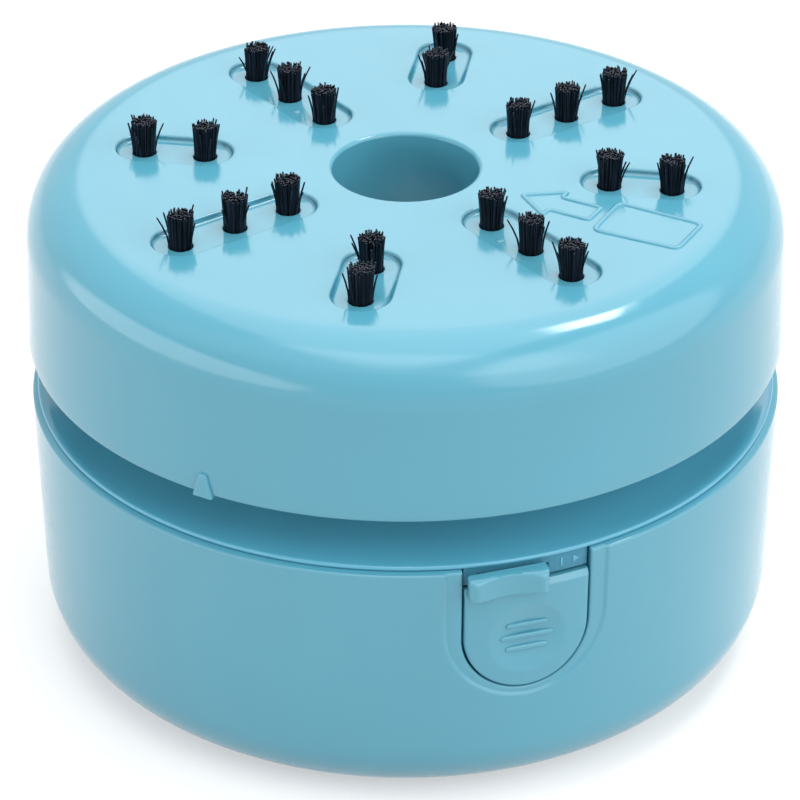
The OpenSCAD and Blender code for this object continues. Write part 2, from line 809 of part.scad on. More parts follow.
module slide_knob() {
    corner = 1;
    scoop_half = knob_w / 2 - 0.8;
    scoop_r = (scoop_half * scoop_half + knob_scoop * knob_scoop) / (2 * knob_scoop);
    color(shell_colour) {
        intersection() {
            translate([knob_x, -knob_front, 0]) rotate([0, 0, knob_turn])
                    translate([0, knob_front, 0]) linear_extrude(shell_h) difference() {
                union() {
                    translate([-knob_w / 2, -knob_front + corner])
                        square([knob_w, knob_front - corner - knob_in + 0.4]);
                    translate([-knob_w / 2 + corner, -knob_front]) square([knob_w - 2 * corner, corner + 0.5]);
                    for (side = [-1, 1]) translate([side * (knob_w / 2 - corner), -knob_front + corner])
                        circle(r = corner);
                }
                translate([0, -knob_front + knob_scoop - scoop_r]) circle(r = scoop_r);
            }
            translate([-20, 0, 0]) rotate([90, 0, 90]) linear_extrude(40) polygon([
                [-knob_in, knob_top], [-body_r, knob_top], [-body_r - knob_out * 0.8, knob_top - 0.6],
                [-knob_front - eps, knob_top - 1], [-knob_front - eps, knob_lip_z + 0.3],
                [-knob_front + 0.3, knob_lip_z], [-button_r - 0.25, knob_lip_z],
                [-button_r - 0.25, knob_foot_z], [-knob_in, knob_foot_z]]);
        }
        box([stem_x - stem_w / 2, -knob_in - 0.3, stem_z],
            [stem_x + stem_w / 2, switch_y + 1.4, stem_z + stem_h]);
    }
}

module switch_body() {
    color(steel_colour) difference() {
        box([switch_x - switch_half, switch_y, switch_z],
            [switch_x + switch_half, switch_y + switch_depth, shell_h]);
        box([switch_x - switch_half + switch_wall, switch_y + switch_wall, slider_z - cut_gap],
            [switch_x + switch_half - switch_wall, switch_y + switch_depth - switch_wall,
             shell_h - switch_wall]);
        box([stem_x - stem_w / 2 - cut_gap, switch_y - 1, stem_z - cut_gap],
            [stem_x + stem_w / 2 + knob_travel + cut_gap, switch_y + 1, stem_z + stem_h + cut_gap]);
    }
}

module switch_slider() {
    color(cap_colour) difference() {
        box([stem_x - slider_w / 2, switch_y + switch_wall + pin_gap, slider_z],
            [stem_x + slider_w / 2, switch_y + switch_depth - switch_wall - pin_gap, stem_z + stem_h]);
        box([stem_x - stem_w / 2 - 0.02, switch_y - 1, stem_z - 0.02],
            [stem_x + stem_w / 2 + 0.02, switch_y + 1.42, stem_z + stem_h + 1]);
    }
}

// ---- Push button ----

module button_face() {
    dish_ball = (dish_d * dish_d / 4 + dish_depth * dish_depth) / (2 * dish_depth);
    difference() {
        intersection() {
            u_prism(button_w / 2, button_z, button_top, -body_r - 1, -button_back);
            rotate_extrude() polygon(shell_outline(0.1));
        }
        disc(button_back, 0, shell_h);
        // Bevel along the straight top edge, and room behind it for the slotted panel
        translate([-20, 0, 0]) rotate([90, 0, 90]) linear_extrude(40) polygon([
            [-button_r - 1, button_face_top - 0.3], [-button_r - 0.3, button_face_top - 0.3],
            [-button_r + 0.7, button_top + eps], [-button_r - 1, button_top + eps]]);
        disc(ridge_r, button_back_top, shell_h);
        translate([0, -button_r - dish_ball + dish_depth, dish_z]) sphere(r = dish_ball);
    }
}

module push_button() {
    tail_w = 9;
    tail_t = 1.2;
    tail_z = catch_z - 1.5;
    color(shell_colour) {
        button_face();
        // Flange that holds the button behind the wall of the shell
        intersection() {
            u_prism(window_half + button_flange, button_z - button_flange - cut_gap, button_back_top,
                -body_r, -30);
            ring(button_flange_r, button_back, tail_z, shell_h);
        }
        // Tail with the hook under the catch of the shell
        intersection() {
            box([-tail_w / 2, -body_r, tail_z], [tail_w / 2, -30, button_z + 1]);
            ring(catch_r - slide_gap, catch_r - slide_gap - tail_t, tail_z, shell_h);
        }
        intersection() {
            box([-tail_w / 2, -body_r, tail_z], [tail_w / 2, -30, catch_z - slide_gap]);
            ring(hook_r, catch_r - slide_gap - 0.2, tail_z, shell_h);
        }
        intersection() {
            box([-tail_w / 2, -body_r, button_z - 1], [tail_w / 2, -30, button_z + 1]);
            ring(button_flange_r, catch_r - slide_gap - tail_t, tail_z, shell_h);
        }
        // Guide pin inside the spring
        translate([0, -button_back - 0.8, spring_z]) rotate([-90, 0, 0])
            cylinder(r = guide_pin_r, h = button_back + spring_wall_y + 0.8 + 0.6);
    }
}

module button_spring() {
    length = button_back + spring_wall_y - 0.1;
    color(steel_colour) translate([0, -button_back + 0.08, spring_z]) rotate([-90, 0, 0])
        coil(spring_coil_r, spring_coil_r, length, 5, 0.2);
}

// ---- Shell ----

module top_shell() {
    color(shell_colour) difference() {
        union() {
            difference() {
                rotate_extrude() polygon(shell_outline(0));
                rotate_extrude() polygon(shell_hollow());
            }
            // Catches for the button and for the rear hook
            sector(body_r - wall + 0.2, catch_r, -96.5, -83.5, catch_z, catch_z + catch_t);
            sector(body_r - wall + 0.2, spigot_in + 0.5, 82, 98, rear_catch_z, rear_catch_z + catch_t);
            // Ribs that hold the cells in the holder
            for (side = [-1, 1]) translate([0, side * 15, 0])
                box([-cell_x - 6, -0.7, wall - eps], [cell_x + 6, 0.7, wall + floor_rib]);
        }
        u_prism(window_half, button_z - cut_gap, shell_h + 1, -body_r - 1, -spigot_in + 1);
        difference() {
            u_prism(window_half + pocket_margin, button_z - cut_gap - 0.8, shell_h + 1, -body_r - 1, -30);
            rotate_extrude() polygon(shell_outline(pocket_depth));
        }
    }
}

brush_base();
bristle_row(0);  // bristle_row_1
bristle_row(1);  // bristle_row_2
bristle_row(2);  // bristle_row_3
bristle_row(3);  // bristle_row_4
bristle_row(4);  // bristle_row_5
bristle_row(5);  // bristle_row_6
bristle_row(6);  // bristle_row_7
bristle_row(7);  // bristle_row_8
base_seal();
filter_frame();
filter_pad();
fan_cover();
cover_screws();
mid_frame();
impeller();
motor_shaft();
armature();
commutator();
motor_can();
motor_magnets();
motor_end_cap();
front_bush();
rear_bush();
motor_brushes();
battery_holder();
holder_screws();
cell_left();
cell_right();
link_plate();
positive_contact();
negative_contact();
cell_spring_left();
cell_spring_right();
slide_knob();
switch_body();
switch_slider();
push_button();
button_spring();
top_shell();
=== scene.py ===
"""Looks of a round desk vacuum cleaner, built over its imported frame.

The vacuum stands brush side up. Every size below is in millimetres in the frame's own axes:
the origin is the centre of the flat face that it rests on, +Z is up and the push button is at -Y.
MeshDraft turns millimetres into metres when it makes a Blender mesh.
"""

from __future__ import annotations

import logging
import math
import operator
import random
from collections.abc import Callable, Iterable, Sequence
from dataclasses import dataclass, field
from enum import Enum

import bmesh
import bpy
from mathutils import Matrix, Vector, geometry

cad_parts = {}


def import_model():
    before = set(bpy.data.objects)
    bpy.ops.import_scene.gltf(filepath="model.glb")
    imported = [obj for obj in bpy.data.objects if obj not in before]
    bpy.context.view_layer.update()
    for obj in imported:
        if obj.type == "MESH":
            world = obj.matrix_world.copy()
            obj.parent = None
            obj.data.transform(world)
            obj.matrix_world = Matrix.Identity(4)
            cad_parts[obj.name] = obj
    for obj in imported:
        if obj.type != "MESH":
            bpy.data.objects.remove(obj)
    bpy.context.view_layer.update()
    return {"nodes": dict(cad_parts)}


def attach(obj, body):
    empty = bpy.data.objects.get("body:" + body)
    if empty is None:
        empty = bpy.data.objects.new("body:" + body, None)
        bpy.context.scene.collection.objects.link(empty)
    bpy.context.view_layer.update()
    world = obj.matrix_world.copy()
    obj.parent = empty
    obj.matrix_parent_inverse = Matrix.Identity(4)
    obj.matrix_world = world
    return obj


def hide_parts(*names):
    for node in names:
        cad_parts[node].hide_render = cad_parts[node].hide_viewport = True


log = logging.getLogger("desk_vacuum")

MM = 0.001
# Lengths in metres: points closer than the first are one, and edges shorter than the second go.
WELD, SHORTEST = 2e-6, 1e-7
# Angles in degrees: shading stays sharp and bevels are cut from these on.
SHARP, BEVEL_FROM, SHARP_INSIDE = 40.0, 30.0, 35.0
# Noise mostly lies between these values.
NOISE_ENDS = (0.3, 0.7)
# The sockets of a Mix node that blends colours.
MIX_LOW, MIX_HIGH, MIX_RESULT = 6, 7, 2
WHITE = (1.0, 1.0, 1.0, 1.0)

Point = tuple[float, float, float]
Flat = tuple[float, float]
Colour = tuple[float, float, float]
Loops = Sequence[Sequence[Point]]
Keep = Callable[[int, int], bool]
Piece = bpy.types.Object
Socket = bpy.types.NodeSocket
Material = bpy.types.Material


class Body(Enum):
    """The frame's bodies that carry visual pieces."""

    HOUSING = "housing"
    BRUSH_HEAD = "brush_head"
    KNOB = "knob"
    BUTTON = "button"


# ---- Curves ----


def lerp(a: float, b: float, t: float) -> float:
    """The value a share t of the way from a to b."""
    return a + (b - a) * t


def arc(centre: Flat, radii: Flat, start: float, stop: float, steps: int) -> list[Flat]:
    """Points along part of an ellipse, from one angle in degrees to another."""
    angles = [math.radians(start + (stop - start) * i / steps) for i in range(steps + 1)]
    return [(centre[0] + radii[0] * math.cos(a), centre[1] + radii[1] * math.sin(a)) for a in angles]


def line(start: Flat, stop: Flat, steps: int) -> list[Flat]:
    """Points along a straight line, both ends included."""
    return [tuple(lerp(a, b, i / steps) for a, b in zip(start, stop)) for i in range(steps + 1)]


def circle(radius: float, count: int, centre: Flat = (0.0, 0.0)) -> list[Flat]:
    """A closed ring of points, counter-clockwise from +X."""
    return arc(centre, (radius, radius), 0, 360, count)[:-1]


def polar(radius: float, azimuth: float) -> Flat:
    """The point at a radius and an azimuth in degrees."""
    a = math.radians(azimuth)
    return (radius * math.cos(a), radius * math.sin(a))


def around(radius: float, azimuth: float, z: float) -> Point:
    """The point at a radius, an azimuth in degrees and a height."""
    return (*polar(radius, azimuth), z)


def turned(points: Iterable[Sequence[float]], azimuth: float) -> list[tuple[float, ...]]:
    """Points turned about Z by an azimuth in degrees, with their heights if they have any."""
    c, s = math.cos(math.radians(azimuth)), math.sin(math.radians(azimuth))
    return [(x * c - y * s, x * s + y * c, *rest) for x, y, *rest in points]


def stadium(reach_in: float, reach_out: float, half: float, azimuth: float, steps: int = 18) -> list[Flat]:
    """Outline, counter-clockwise, of a slot with round ends centred at two distances along an azimuth."""
    ends = ((reach_out, -90, 90), (reach_in, 90, 270))
    return turned([p for reach, a, b in ends for p in arc((reach, 0), (half, half), a, b, steps)], azimuth)


def u_path(half: float, centre: float, top: float, straight: int, bend: int) -> list[Flat]:
    """The sides and the round bottom of a U, as points across and up.

    Args:
        half: Half the width of the U.
        centre: Height of the middle of its round bottom.
        top: Height where its sides end.
        straight: Intervals on each side.
        bend: Intervals round the bottom.

    Returns:
        The points, down the left side and up the right one.
    """
    left = line((-half, top), (-half, centre), straight)
    right = line((half, centre), (half, top), straight)
    return left + arc((0, centre), (half, half), 180, 360, bend)[1:] + right[1:]


def shrunk(points: Sequence[Flat], amount: float) -> list[Flat]:
    """Moves the sides of an outline inward.

    Args:
        points: The closed outline, counter-clockwise.
        amount: How far its sides move.

    Returns:
        The new outline.
    """
    moved = []
    for i, (x, y) in enumerate(points):
        (x0, y0), (x1, y1) = points[i - 1], points[(i + 1) % len(points)]
        a, b = Vector((x - x0, y - y0)).normalized(), Vector((x1 - x, y1 - y)).normalized()
        inward = Vector((-a.y - b.y, a.x + b.x))
        reach = max(inward.length_squared / 2, 0.2)
        moved.append((x + inward.x * amount / reach, y + inward.y * amount / reach))
    return moved


def rounded(corners: Sequence[Flat], reach: float, steps: int = 5) -> list[Flat]:
    """A closed outline with its corners rounded off.

    Args:
        corners: The corners, counter-clockwise.
        reach: How far from its corner each rounding starts.
        steps: Intervals of each rounding.

    Returns:
        The points of the outline.
    """
    points = []
    for i, corner in enumerate(corners):
        ends = []
        for other in (corners[i - 1], corners[(i + 1) % len(corners)]):
            ends.append([lerp(*pair, reach / math.dist(corner, other)) for pair in zip(corner, other)])
        for k in range(steps + 1):
            t = k / steps
            weights = ((1 - t) ** 2, 2 * t * (1 - t), t * t)
            axes = zip(ends[0], corner, ends[1])
            points.append(tuple(sum(map(operator.mul, weights, axis)) for axis in axes))
    return points


def at_height(points: Iterable[Flat], z: float) -> list[Point]:
    """Lifts flat points to a height."""
    return [(x, y, z) for x, y in points]


def rings(place: Flat, steps: Iterable[Flat], count: int) -> list[list[Point]]:
    """Level circles about a place, one for each radius and height."""
    return [at_height(circle(radius, count, place), z) for radius, z in steps]


# ---- Meshes ----


@dataclass
class MeshDraft:
    """A mesh under construction, in millimetres.

    Attributes:
        points: Every point that was added so far.
        faces: Faces as indices into points.
    """

    points: list[Point] = field(default_factory=list)
    faces: list[tuple[int, ...]] = field(default_factory=list)

    def add(self, points: Iterable[Point]) -> list[int]:
        """Adds points.

        Args:
            points: The new points.

        Returns:
            Their indices.
        """
        first = len(self.points)
        self.points.extend(points)
        return list(range(first, len(self.points)))

    def grid(self, rows: Loops, wrap: bool = False, keep: Keep | None = None) -> list[list[int]]:
        """Adds quads between successive rows of points.

        Args:
            rows: Rows of equal length.
            wrap: Whether each row closes on itself.
            keep: Tells for a row and a column whether its quad is made.

        Returns:
            The indices of the points, row by row.
        """
        ids = [self.add(row) for row in rows]
        width = len(rows[0])
        for i in range(len(rows) - 1):
            for j in range(width if wrap else width - 1):
                if keep is None or keep(i, j):
                    k = (j + 1) % width
                    self.faces.append((ids[i][j], ids[i][k], ids[i + 1][k], ids[i + 1][j]))
        return ids

    def closed(self, rows: Loops) -> None:
        """Adds a body along rings of points, with a face across each of its ends."""
        ids = self.grid(rows, wrap=True)
        self.faces.extend([tuple(ids[0]), tuple(ids[-1])])

    def fan(self, ring: Sequence[int], centre: Point) -> None:
        """Closes a ring of existing points with triangles to a centre."""
        middle = self.add([centre])[0]
        self.faces.extend((index, ring[(j + 1) % len(ring)], middle) for j, index in enumerate(ring))

    def domed(self, rows: Loops, tip: Point) -> Sequence[Point]:
        """Adds rings of points, closes the last one to a tip and returns the first."""
        self.fan(self.grid(rows, wrap=True)[-1], tip)
        return rows[0]

    def revolve(self, profile: Sequence[Flat], columns: int, keep: Keep | None = None) -> None:
        """Turns a profile about Z.

        Args:
            profile: Points as (radius, height). A radius of 0 at an end closes the form with a fan.
            columns: Number of steps round the axis.
            keep: Tells for a row and a column whether its quad is made.
        """
        rows = [[around(r, 360 * j / columns, z) for j in range(columns)] for r, z in profile if r > 0]
        ids = self.grid(rows, wrap=True, keep=keep)
        for (radius, z), ring in ((profile[0], ids[0]), (profile[-1], ids[-1])):
            if radius == 0:
                self.fan(ring, (0.0, 0.0, z))

    def fill(self, loops: Loops) -> None:
        """Fills a flat area.

        Args:
            loops: Its outer edge, then the holes inside it.
        """
        ids = [index for loop in loops for index in self.add(loop)]
        triangles = geometry.tessellate_polygon([[Vector(p) for p in loop] for loop in loops])
        self.faces.extend(tuple(ids[k] for k in triangle) for triangle in triangles)

    def block(self, low: Point, high: Point, azimuth: float = 0.0) -> None:
        """Adds a closed box.

        Args:
            low: Its low corner.
            high: Its high corner.
            azimuth: How far it is then turned about Z, in degrees.
        """
        corners = [(x, y, z) for z in (low[2], high[2]) for y in (low[1], high[1]) for x in (low[0], high[0])]
        i = self.add(turned(corners, azimuth))
        for quad in ((0, 2, 3, 1), (4, 5, 7, 6), (0, 1, 5, 4), (2, 6, 7, 3), (0, 4, 6, 2), (1, 3, 7, 5)):
            self.faces.append(tuple(i[k] for k in quad))

    def sector(self, radii: Flat, angles: Flat, levels: Flat, steps: int = 12) -> None:
        """Adds a closed piece of a ring.

        Args:
            radii: Inner and outer radius.
            angles: First and last azimuth, in degrees.
            levels: Lower and upper height.
            steps: Intervals along the ring.
        """
        (inner, outer), (low, high) = radii, levels
        section = ((inner, low), (outer, low), (outer, high), (inner, high))
        azimuths = [lerp(*angles, i / steps) for i in range(steps + 1)]
        self.closed([[around(r, azimuth, z) for r, z in section] for azimuth in azimuths])

    def cells(
        self,
        radii: Sequence[float],
        angles: Sequence[float],
        levels: Sequence[float],
        filled: Callable[[int, int, int], bool],
    ) -> None:
        """Adds the skin of a ring that is divided into cells, some of them empty.

        Args:
            radii: Radii between the cells.
            angles: Azimuths between the cells, going once round.
            levels: Heights between the cells.
            filled: Tells for a cell's radial, angular and height index whether it is solid.
        """
        turns = len(angles)
        spans = (range(len(radii) - 1), range(turns), range(len(levels) - 1))

        def solid(cell: Sequence[int]) -> bool:
            """Whether a cell lies in the ring and is filled."""
            return cell[0] in spans[0] and cell[2] in spans[2] and filled(cell[0], cell[1] % turns, cell[2])

        for cell in ((i, j, k) for i in spans[0] for j in spans[1] for k in spans[2]):
            if not solid(cell):
                continue
            for axis, side in ((axis, side) for axis in range(3) for side in (0, 1)):
                if solid([n + (2 * side - 1) * (a == axis) for a, n in enumerate(cell)]):
                    continue
                quad = []
                for step in ((0, 0), (1, 0), (1, 1), (0, 1)):
                    i, j, k = (n + s for n, s in zip(cell, (*step[:axis], side, *step[axis:])))
                    quad.append(around(radii[i], angles[j % turns], levels[k]))
                self.faces.append(tuple(self.add(quad)))

    def build(self, name: str, sharp: float = SHARP, bevel: float = 0.0) -> Piece:
        """Welds the draft into a Blender object with outward normals.

        Args:
            name: Name of the object.
            sharp: Edges that turn by more than this many degrees stay sharp.
            bevel: Width of the rounding on sharp edges, or 0 for none.

        Returns:
            The linked object, in metres.
        """
        mesh = bpy.data.meshes.new(name)
        mesh.from_pydata([(x * MM, y * MM, z * MM) for x, y, z in self.points], [], self.faces)
        work = bmesh.new()
        work.from_mesh(mesh)
        bmesh.ops.remove_doubles(work, verts=work.verts, dist=WELD)
        bmesh.ops.dissolve_degenerate(work, edges=work.edges, dist=SHORTEST)
        bmesh.ops.delete(work, geom=[v for v in work.verts if not v.link_faces], context="VERTS")
        bmesh.ops.recalc_face_normals(work, faces=work.faces)
        if bevel:
            inner = [e for e in work.edges if len(e.link_faces) == 2]
            edges = [e for e in inner if e.calc_face_angle() > math.radians(BEVEL_FROM)]
            bmesh.ops.bevel(work, geom=edges, offset=bevel * MM, segments=3, profile=0.5, affect="EDGES")
        work.to_mesh(mesh)
        work.free()
        mesh.shade_smooth()
        mesh.set_sharp_from_angle(angle=math.radians(sharp))
        piece = bpy.data.objects.new(name, mesh)
        bpy.context.scene.collection.objects.link(piece)
        return piece


# ---- Finishes ----


class Graph:
    """A short way to add nodes to a tree."""

    def __init__(self, tree: bpy.types.NodeTree) -> None:
        """Starts with an empty tree."""
        self.tree = tree
        tree.nodes.clear()

    def put(self, socket: Socket, value: object) -> None:
        """Feeds an input.

        Args:
            socket: The input.
            value: Another node's output, or the plain value that the input gets.
        """
        if isinstance(value, Socket):
            self.tree.links.new(value, socket)
        else:
            socket.default_value = value

    def node(self, kind: str, *inputs: object, **values: object) -> bpy.types.Node:
        """Adds a node.

        Args:
            kind: Its type, without ShaderNode in front.
            *inputs: What its first inputs get.
            **values: Its attributes, or what the inputs of these names get.

        Returns:
            The node.
        """
        made = self.tree.nodes.new("ShaderNode" + kind)
        for key, value in values.items():
            if hasattr(made, key):
                setattr(made, key, value)
            else:
                self.put(made.inputs[key.replace("_", " ")], value)
        for socket, value in zip(made.inputs, inputs):
            self.put(socket, value)
        return made

    def math(self, operation: str, *inputs: object) -> Socket:
        """The result of a calculation."""
        return self.node("Math", *inputs, operation=operation).outputs["Value"]

    def mix(self, share: object, low: object, high: object) -> Socket:
        """Blends two colours.

        Args:
            share: Share of the second colour.
            low: The first colour.
            high: The second colour.

        Returns:
            The blend.
        """
        made = self.node("Mix", share, data_type="RGBA")
        self.put(made.inputs[MIX_LOW], low)
        self.put(made.inputs[MIX_HIGH], high)
        return made.outputs[MIX_RESULT]

    def coordinates(self, kind: str) -> Socket:
        """Where a point lies, in coordinates of a kind."""
        return self.node("TexCoord").outputs[kind]

    def noise(self, scale: float, detail: float = 3.0, stretch: Point = (1.0, 1.0, 1.0)) -> Socket:
        """Noise in the object's own space; stretch scales its axes."""
        place = self.node("Mapping", Vector=self.coordinates("Object"), Scale=stretch).outputs["Vector"]
        return self.node("TexNoise", Vector=place, Scale=scale, Detail=detail).outputs["Fac"]

    def tones(self, value: Socket, low: Colour, high: Colour, ends: Flat = NOISE_ENDS) -> Socket:
        """A colour between two tones.

        Args:
            value: What decides between them, such as noise.
            low: The tone at the value's lower end.
            high: The tone at its upper end.
            ends: The value's lower and upper end.

        Returns:
            The colour.
        """
        ramp = self.node("ValToRGB", value)
        for element, position, colour in zip(ramp.color_ramp.elements, ends, (low, high)):
            element.position = position
            element.color = (*colour, 1.0)
        return ramp.outputs["Color"]

    def span(self, value: Socket, low: float, high: float) -> Socket:
        """Spreads noise over a range."""
        return self.node("MapRange", value, *NOISE_ENDS, low, high).outputs["Result"]

    def bump(self, height: Socket, depth: float, below: Socket | None = None) -> Socket:
        """A bump of a depth in millimetres, laid over another bump if one is given."""
        over = {"Normal": below} if below else {}
        return self.node("Bump", Strength=1.0, Distance=depth * MM, Height=height, **over).outputs["Normal"]

    def seen_directly(self) -> Socket:
        """Tells rays of the camera, of reflections and through glass from those that light.

        Returns:
            1 for the former and 0 for the others.
        """
        rays = self.node("LightPath").outputs
        glass = self.math("MAXIMUM", rays["Is Glossy Ray"], rays["Is Transmission Ray"])
        return self.math("MAXIMUM", rays["Is Camera Ray"], glass)


class Paint(Graph):
    """The nodes of a material."""

    def __init__(self, name: str) -> None:
        """Starts a material without nodes.

        Args:
            name: Name of the material.
        """
        self.material = bpy.data.materials.new(name)
        self.material.use_nodes = True
        super().__init__(self.material.node_tree)

    def done(self, **values: object) -> Material:
        """Adds the shader with its values, and returns the material."""
        self.node("OutputMaterial", Surface=self.node("BsdfPrincipled", **values).outputs["BSDF"])
        return self.material


@dataclass(frozen=True)
class Finish:
    """What every finish has.

    Attributes:
        name: Name of the material.
        colour: Its main colour, linear.
    """

    name: str
    colour: Colour

    def tone(self, factor: float) -> Colour:
        """The colour made lighter or darker."""
        return tuple(min(1.0, c * factor) for c in self.colour)


@dataclass(frozen=True)
class GlossyPlastic(Finish):
    """Polished moulded plastic: a glossy skin with the faint waves and scuffs of a real moulding.

    Attributes:
        roughness: Lowest and highest roughness.
        specular: Strength of its reflections.
        wave: Depth of the moulding's waves, in millimetres.
        grain: Depth of its grain, in millimetres.
        mottle: Share by which the colour varies.
    """

    roughness: Flat = (0.10, 0.17)
    specular: float = 0.7
    wave: float = 0.006
    grain: float = 0.0006
    mottle: float = 0.03

    def material(self) -> Material:
        """Builds the material.

        Returns:
            The material.
        """
        g = Paint(self.name)
        waves = g.bump(g.noise(70.0, 1.0), self.wave)
        return g.done(
            Base_Color=g.tones(g.noise(38.0, 2.0), self.tone(1 - self.mottle), self.tone(1 + self.mottle)),
            Roughness=g.span(g.noise(420.0, 6.0, (1.0, 0.35, 1.6)), *self.roughness),
            Normal=g.bump(g.noise(2600.0, 2.0), self.grain, waves),
            IOR=1.5,
            Specular_IOR_Level=self.specular,
        )


@dataclass(frozen=True)
class SatinPlastic(Finish):
    """Unpolished moulded plastic with a fine grain."""

    roughness: Flat = (0.42, 0.58)
    grain: float = 0.008

    def material(self) -> Material:
        """Builds the material.

        Returns:
            The material.
        """
        g = Paint(self.name)
        return g.done(
            Base_Color=g.tones(g.noise(120.0), self.tone(0.94), self.tone(1.05)),
            Roughness=g.span(g.noise(500.0, 4.0), *self.roughness),
            Normal=g.bump(g.noise(1500.0, 4.0), self.grain),
        )


@dataclass(frozen=True)
class NylonFilament(Finish):
    """Bundled filament: each strand has its own tone along its whole length.

    Attributes:
        light: Colour of the lightest strands. The main colour is that of the darkest.
        lit_cut_end: Colour of the strand ends, which face up. It is lighter than the strands as painted light
            from above.
    """

    light: Colour
    lit_cut_end: Colour = (0.014, 0.021, 0.036)

    def material(self) -> Material:
        """Builds the material.

        Returns:
            The material.
        """
        g = Paint(self.name)
        strands = g.noise(2600.0, 1.0, (1.0, 1.0, 0.02))
        facing = g.node("SeparateXYZ", g.coordinates("Normal")).outputs["Z"]
        # Faces that point up take the lighter colour of the strand ends: painted light from above.
        lit_top_share = g.node("MapRange", facing, 0.75, 1.0).outputs["Result"]
        sides = g.tones(strands, self.colour, self.light, (0.38, 0.66))
        return g.done(
            Base_Color=g.mix(lit_top_share, sides, (*self.lit_cut_end, 1.0)),
            Roughness=g.span(strands, 0.30, 0.48),
            Normal=g.bump(g.noise(5200.0, 2.0, (1.0, 1.0, 0.1)), 0.01),
            Specular_IOR_Level=0.22,
        )


@dataclass(frozen=True)
class Metal(Finish):
    """Bare or plated metal, brushed along one axis.

    Attributes:
        roughness: Lowest and highest roughness.
        brushed: Scale of the scratches along X, Y and Z.
    """

    roughness: Flat = (0.22, 0.38)
    brushed: Point = (1.0, 1.0, 0.05)

    def material(self) -> Material:
        """Builds the material.

        Returns:
            The material.
        """
        g = Paint(self.name)
        scratches = g.noise(1800.0, 5.0, self.brushed)
        return g.done(
            Base_Color=g.tones(scratches, self.tone(0.86), self.tone(1.08)),
            Roughness=g.span(scratches, *self.roughness),
            Normal=g.bump(scratches, 0.004),
            Metallic=1.0,
        )


@dataclass(frozen=True)
class Felt(Finish):
    """Needled filter felt: a fuzzy mat of crossing fibres."""

    def material(self) -> Material:
        """Builds the material.

        Returns:
            The material.
        """
        g = Paint(self.name)
        along, across = (g.noise(900.0, 8.0, stretch) for stretch in ((1.0, 0.25, 1.0), (0.25, 1.0, 1.0)))
        return g.done(
            Base_Color=g.tones(along, self.tone(0.72), self.colour),
            Roughness=0.95,
            Normal=g.bump(across, 0.12, g.bump(along, 0.12)),
            Sheen_Weight=0.3,
        )


@dataclass(frozen=True)
class Rubber(Finish):
    """Moulded rubber, matt and slightly dusty."""

    def material(self) -> Material:
        """Builds the material.

        Returns:
            The material.
        """
        g = Paint(self.name)
        dust = g.noise(260.0, 5.0)
        return g.done(
            Base_Color=g.tones(dust, self.colour, self.tone(1.9), (0.35, 0.75)),
            Roughness=g.span(dust, 0.6, 0.8),
            Normal=g.bump(g.noise(1400.0), 0.01),
        )


@dataclass(frozen=True)
class CellJacket(Finish):
    """The printed film round a cell: dark over most of its length, with a metallic band at one end.

    Attributes:
        band: Colour of the metallic end.
        start: Where the band starts along Y, in millimetres.
        soft: Half the width of its edge, in millimetres.
    """

    band: Colour
    start: float = 11.0
    soft: float = 0.05

    def material(self) -> Material:
        """Builds the material.

        Returns:
            The material.
        """
        g = Paint(self.name)
        along = g.node("SeparateXYZ", g.coordinates("Object")).outputs["Y"]
        edges = ((self.start - self.soft) * MM, (self.start + self.soft) * MM)
        past = g.node("MapRange", along, *edges).outputs["Result"]
        wear = g.tones(g.noise(90.0), self.tone(0.85), self.tone(1.2))
        return g.done(
            Base_Color=g.mix(past, wear, (*self.band, 1.0)),
            Metallic=past,
            Roughness=g.span(g.noise(400.0, 4.0), 0.24, 0.4),
            Normal=g.bump(g.noise(220.0, 2.0), 0.01),
        )


# ---- Housing and brush side ----


@dataclass(frozen=True)
class Levels:
    """Radii and heights that the sub-assemblies share."""

    radius: float = 43.0
    wall: float = 2.0
    shell_top: float = 31.5
    rim: float = 0.6
    skirt: float = 38.1
    plate: float = 57.7
    ceiling: float = 55.3
    neck: float = 34.4
    neck_bore: float = 32.4
    neck_top: float = 45.8
    deck_top: float = 33.3
    guard: float = 0.25
    overlap: float = 0.05


@dataclass(frozen=True)
class BrushLayout:
    """Where the slots and their tufts lie on the plate."""

    slots: int = 8
    first: float = -26.9
    outer: float = 29.9
    pitch: float = 7.0
    half_width: float = 3.15
    depth: float = 0.62
    tuft_radius: float = 1.3
    tip_height: float = 3.3

    def azimuth(self, slot: float) -> float:
        """Direction of a slot, in degrees."""
        return self.first + 360 / self.slots * slot

    def reaches(self, slot: int) -> list[float]:
        """Distances of a slot's tufts from the middle: two tufts, then three, and so on."""
        return [self.outer - self.pitch * i for i in range(2 + slot % 2)]


@dataclass
class Moulding:
    """A sub-assembly. Its pieces ride one body and share one finish.

    Attributes:
        finish: Material of its pieces.
        body: The body that they ride.
        slot: The record's slot of their finish. It is not used.
    """

    finish: Material
    body = Body.HOUSING
    slot = "shell_aqua"

    def seat(self, draft: MeshDraft, name: str, *nodes: str, sharp: float = SHARP, bevel: float = 0) -> Piece:
        """Makes a piece, gives it its finish and its body, and hides the frame nodes that it stands for.

        Args:
            draft: Its mesh.
            name: Its name.
            *nodes: Frame nodes that it replaces.
            sharp: Edges that turn by more than this many degrees stay sharp.
            bevel: Width of the rounding on sharp edges, or 0 for none.

        Returns:
            The piece.
        """
        piece = draft.build(name, sharp, bevel)
        piece.data.materials.append(self.finish)
        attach(piece, self.body.value)
        if nodes:
            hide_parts(*nodes)
        return piece


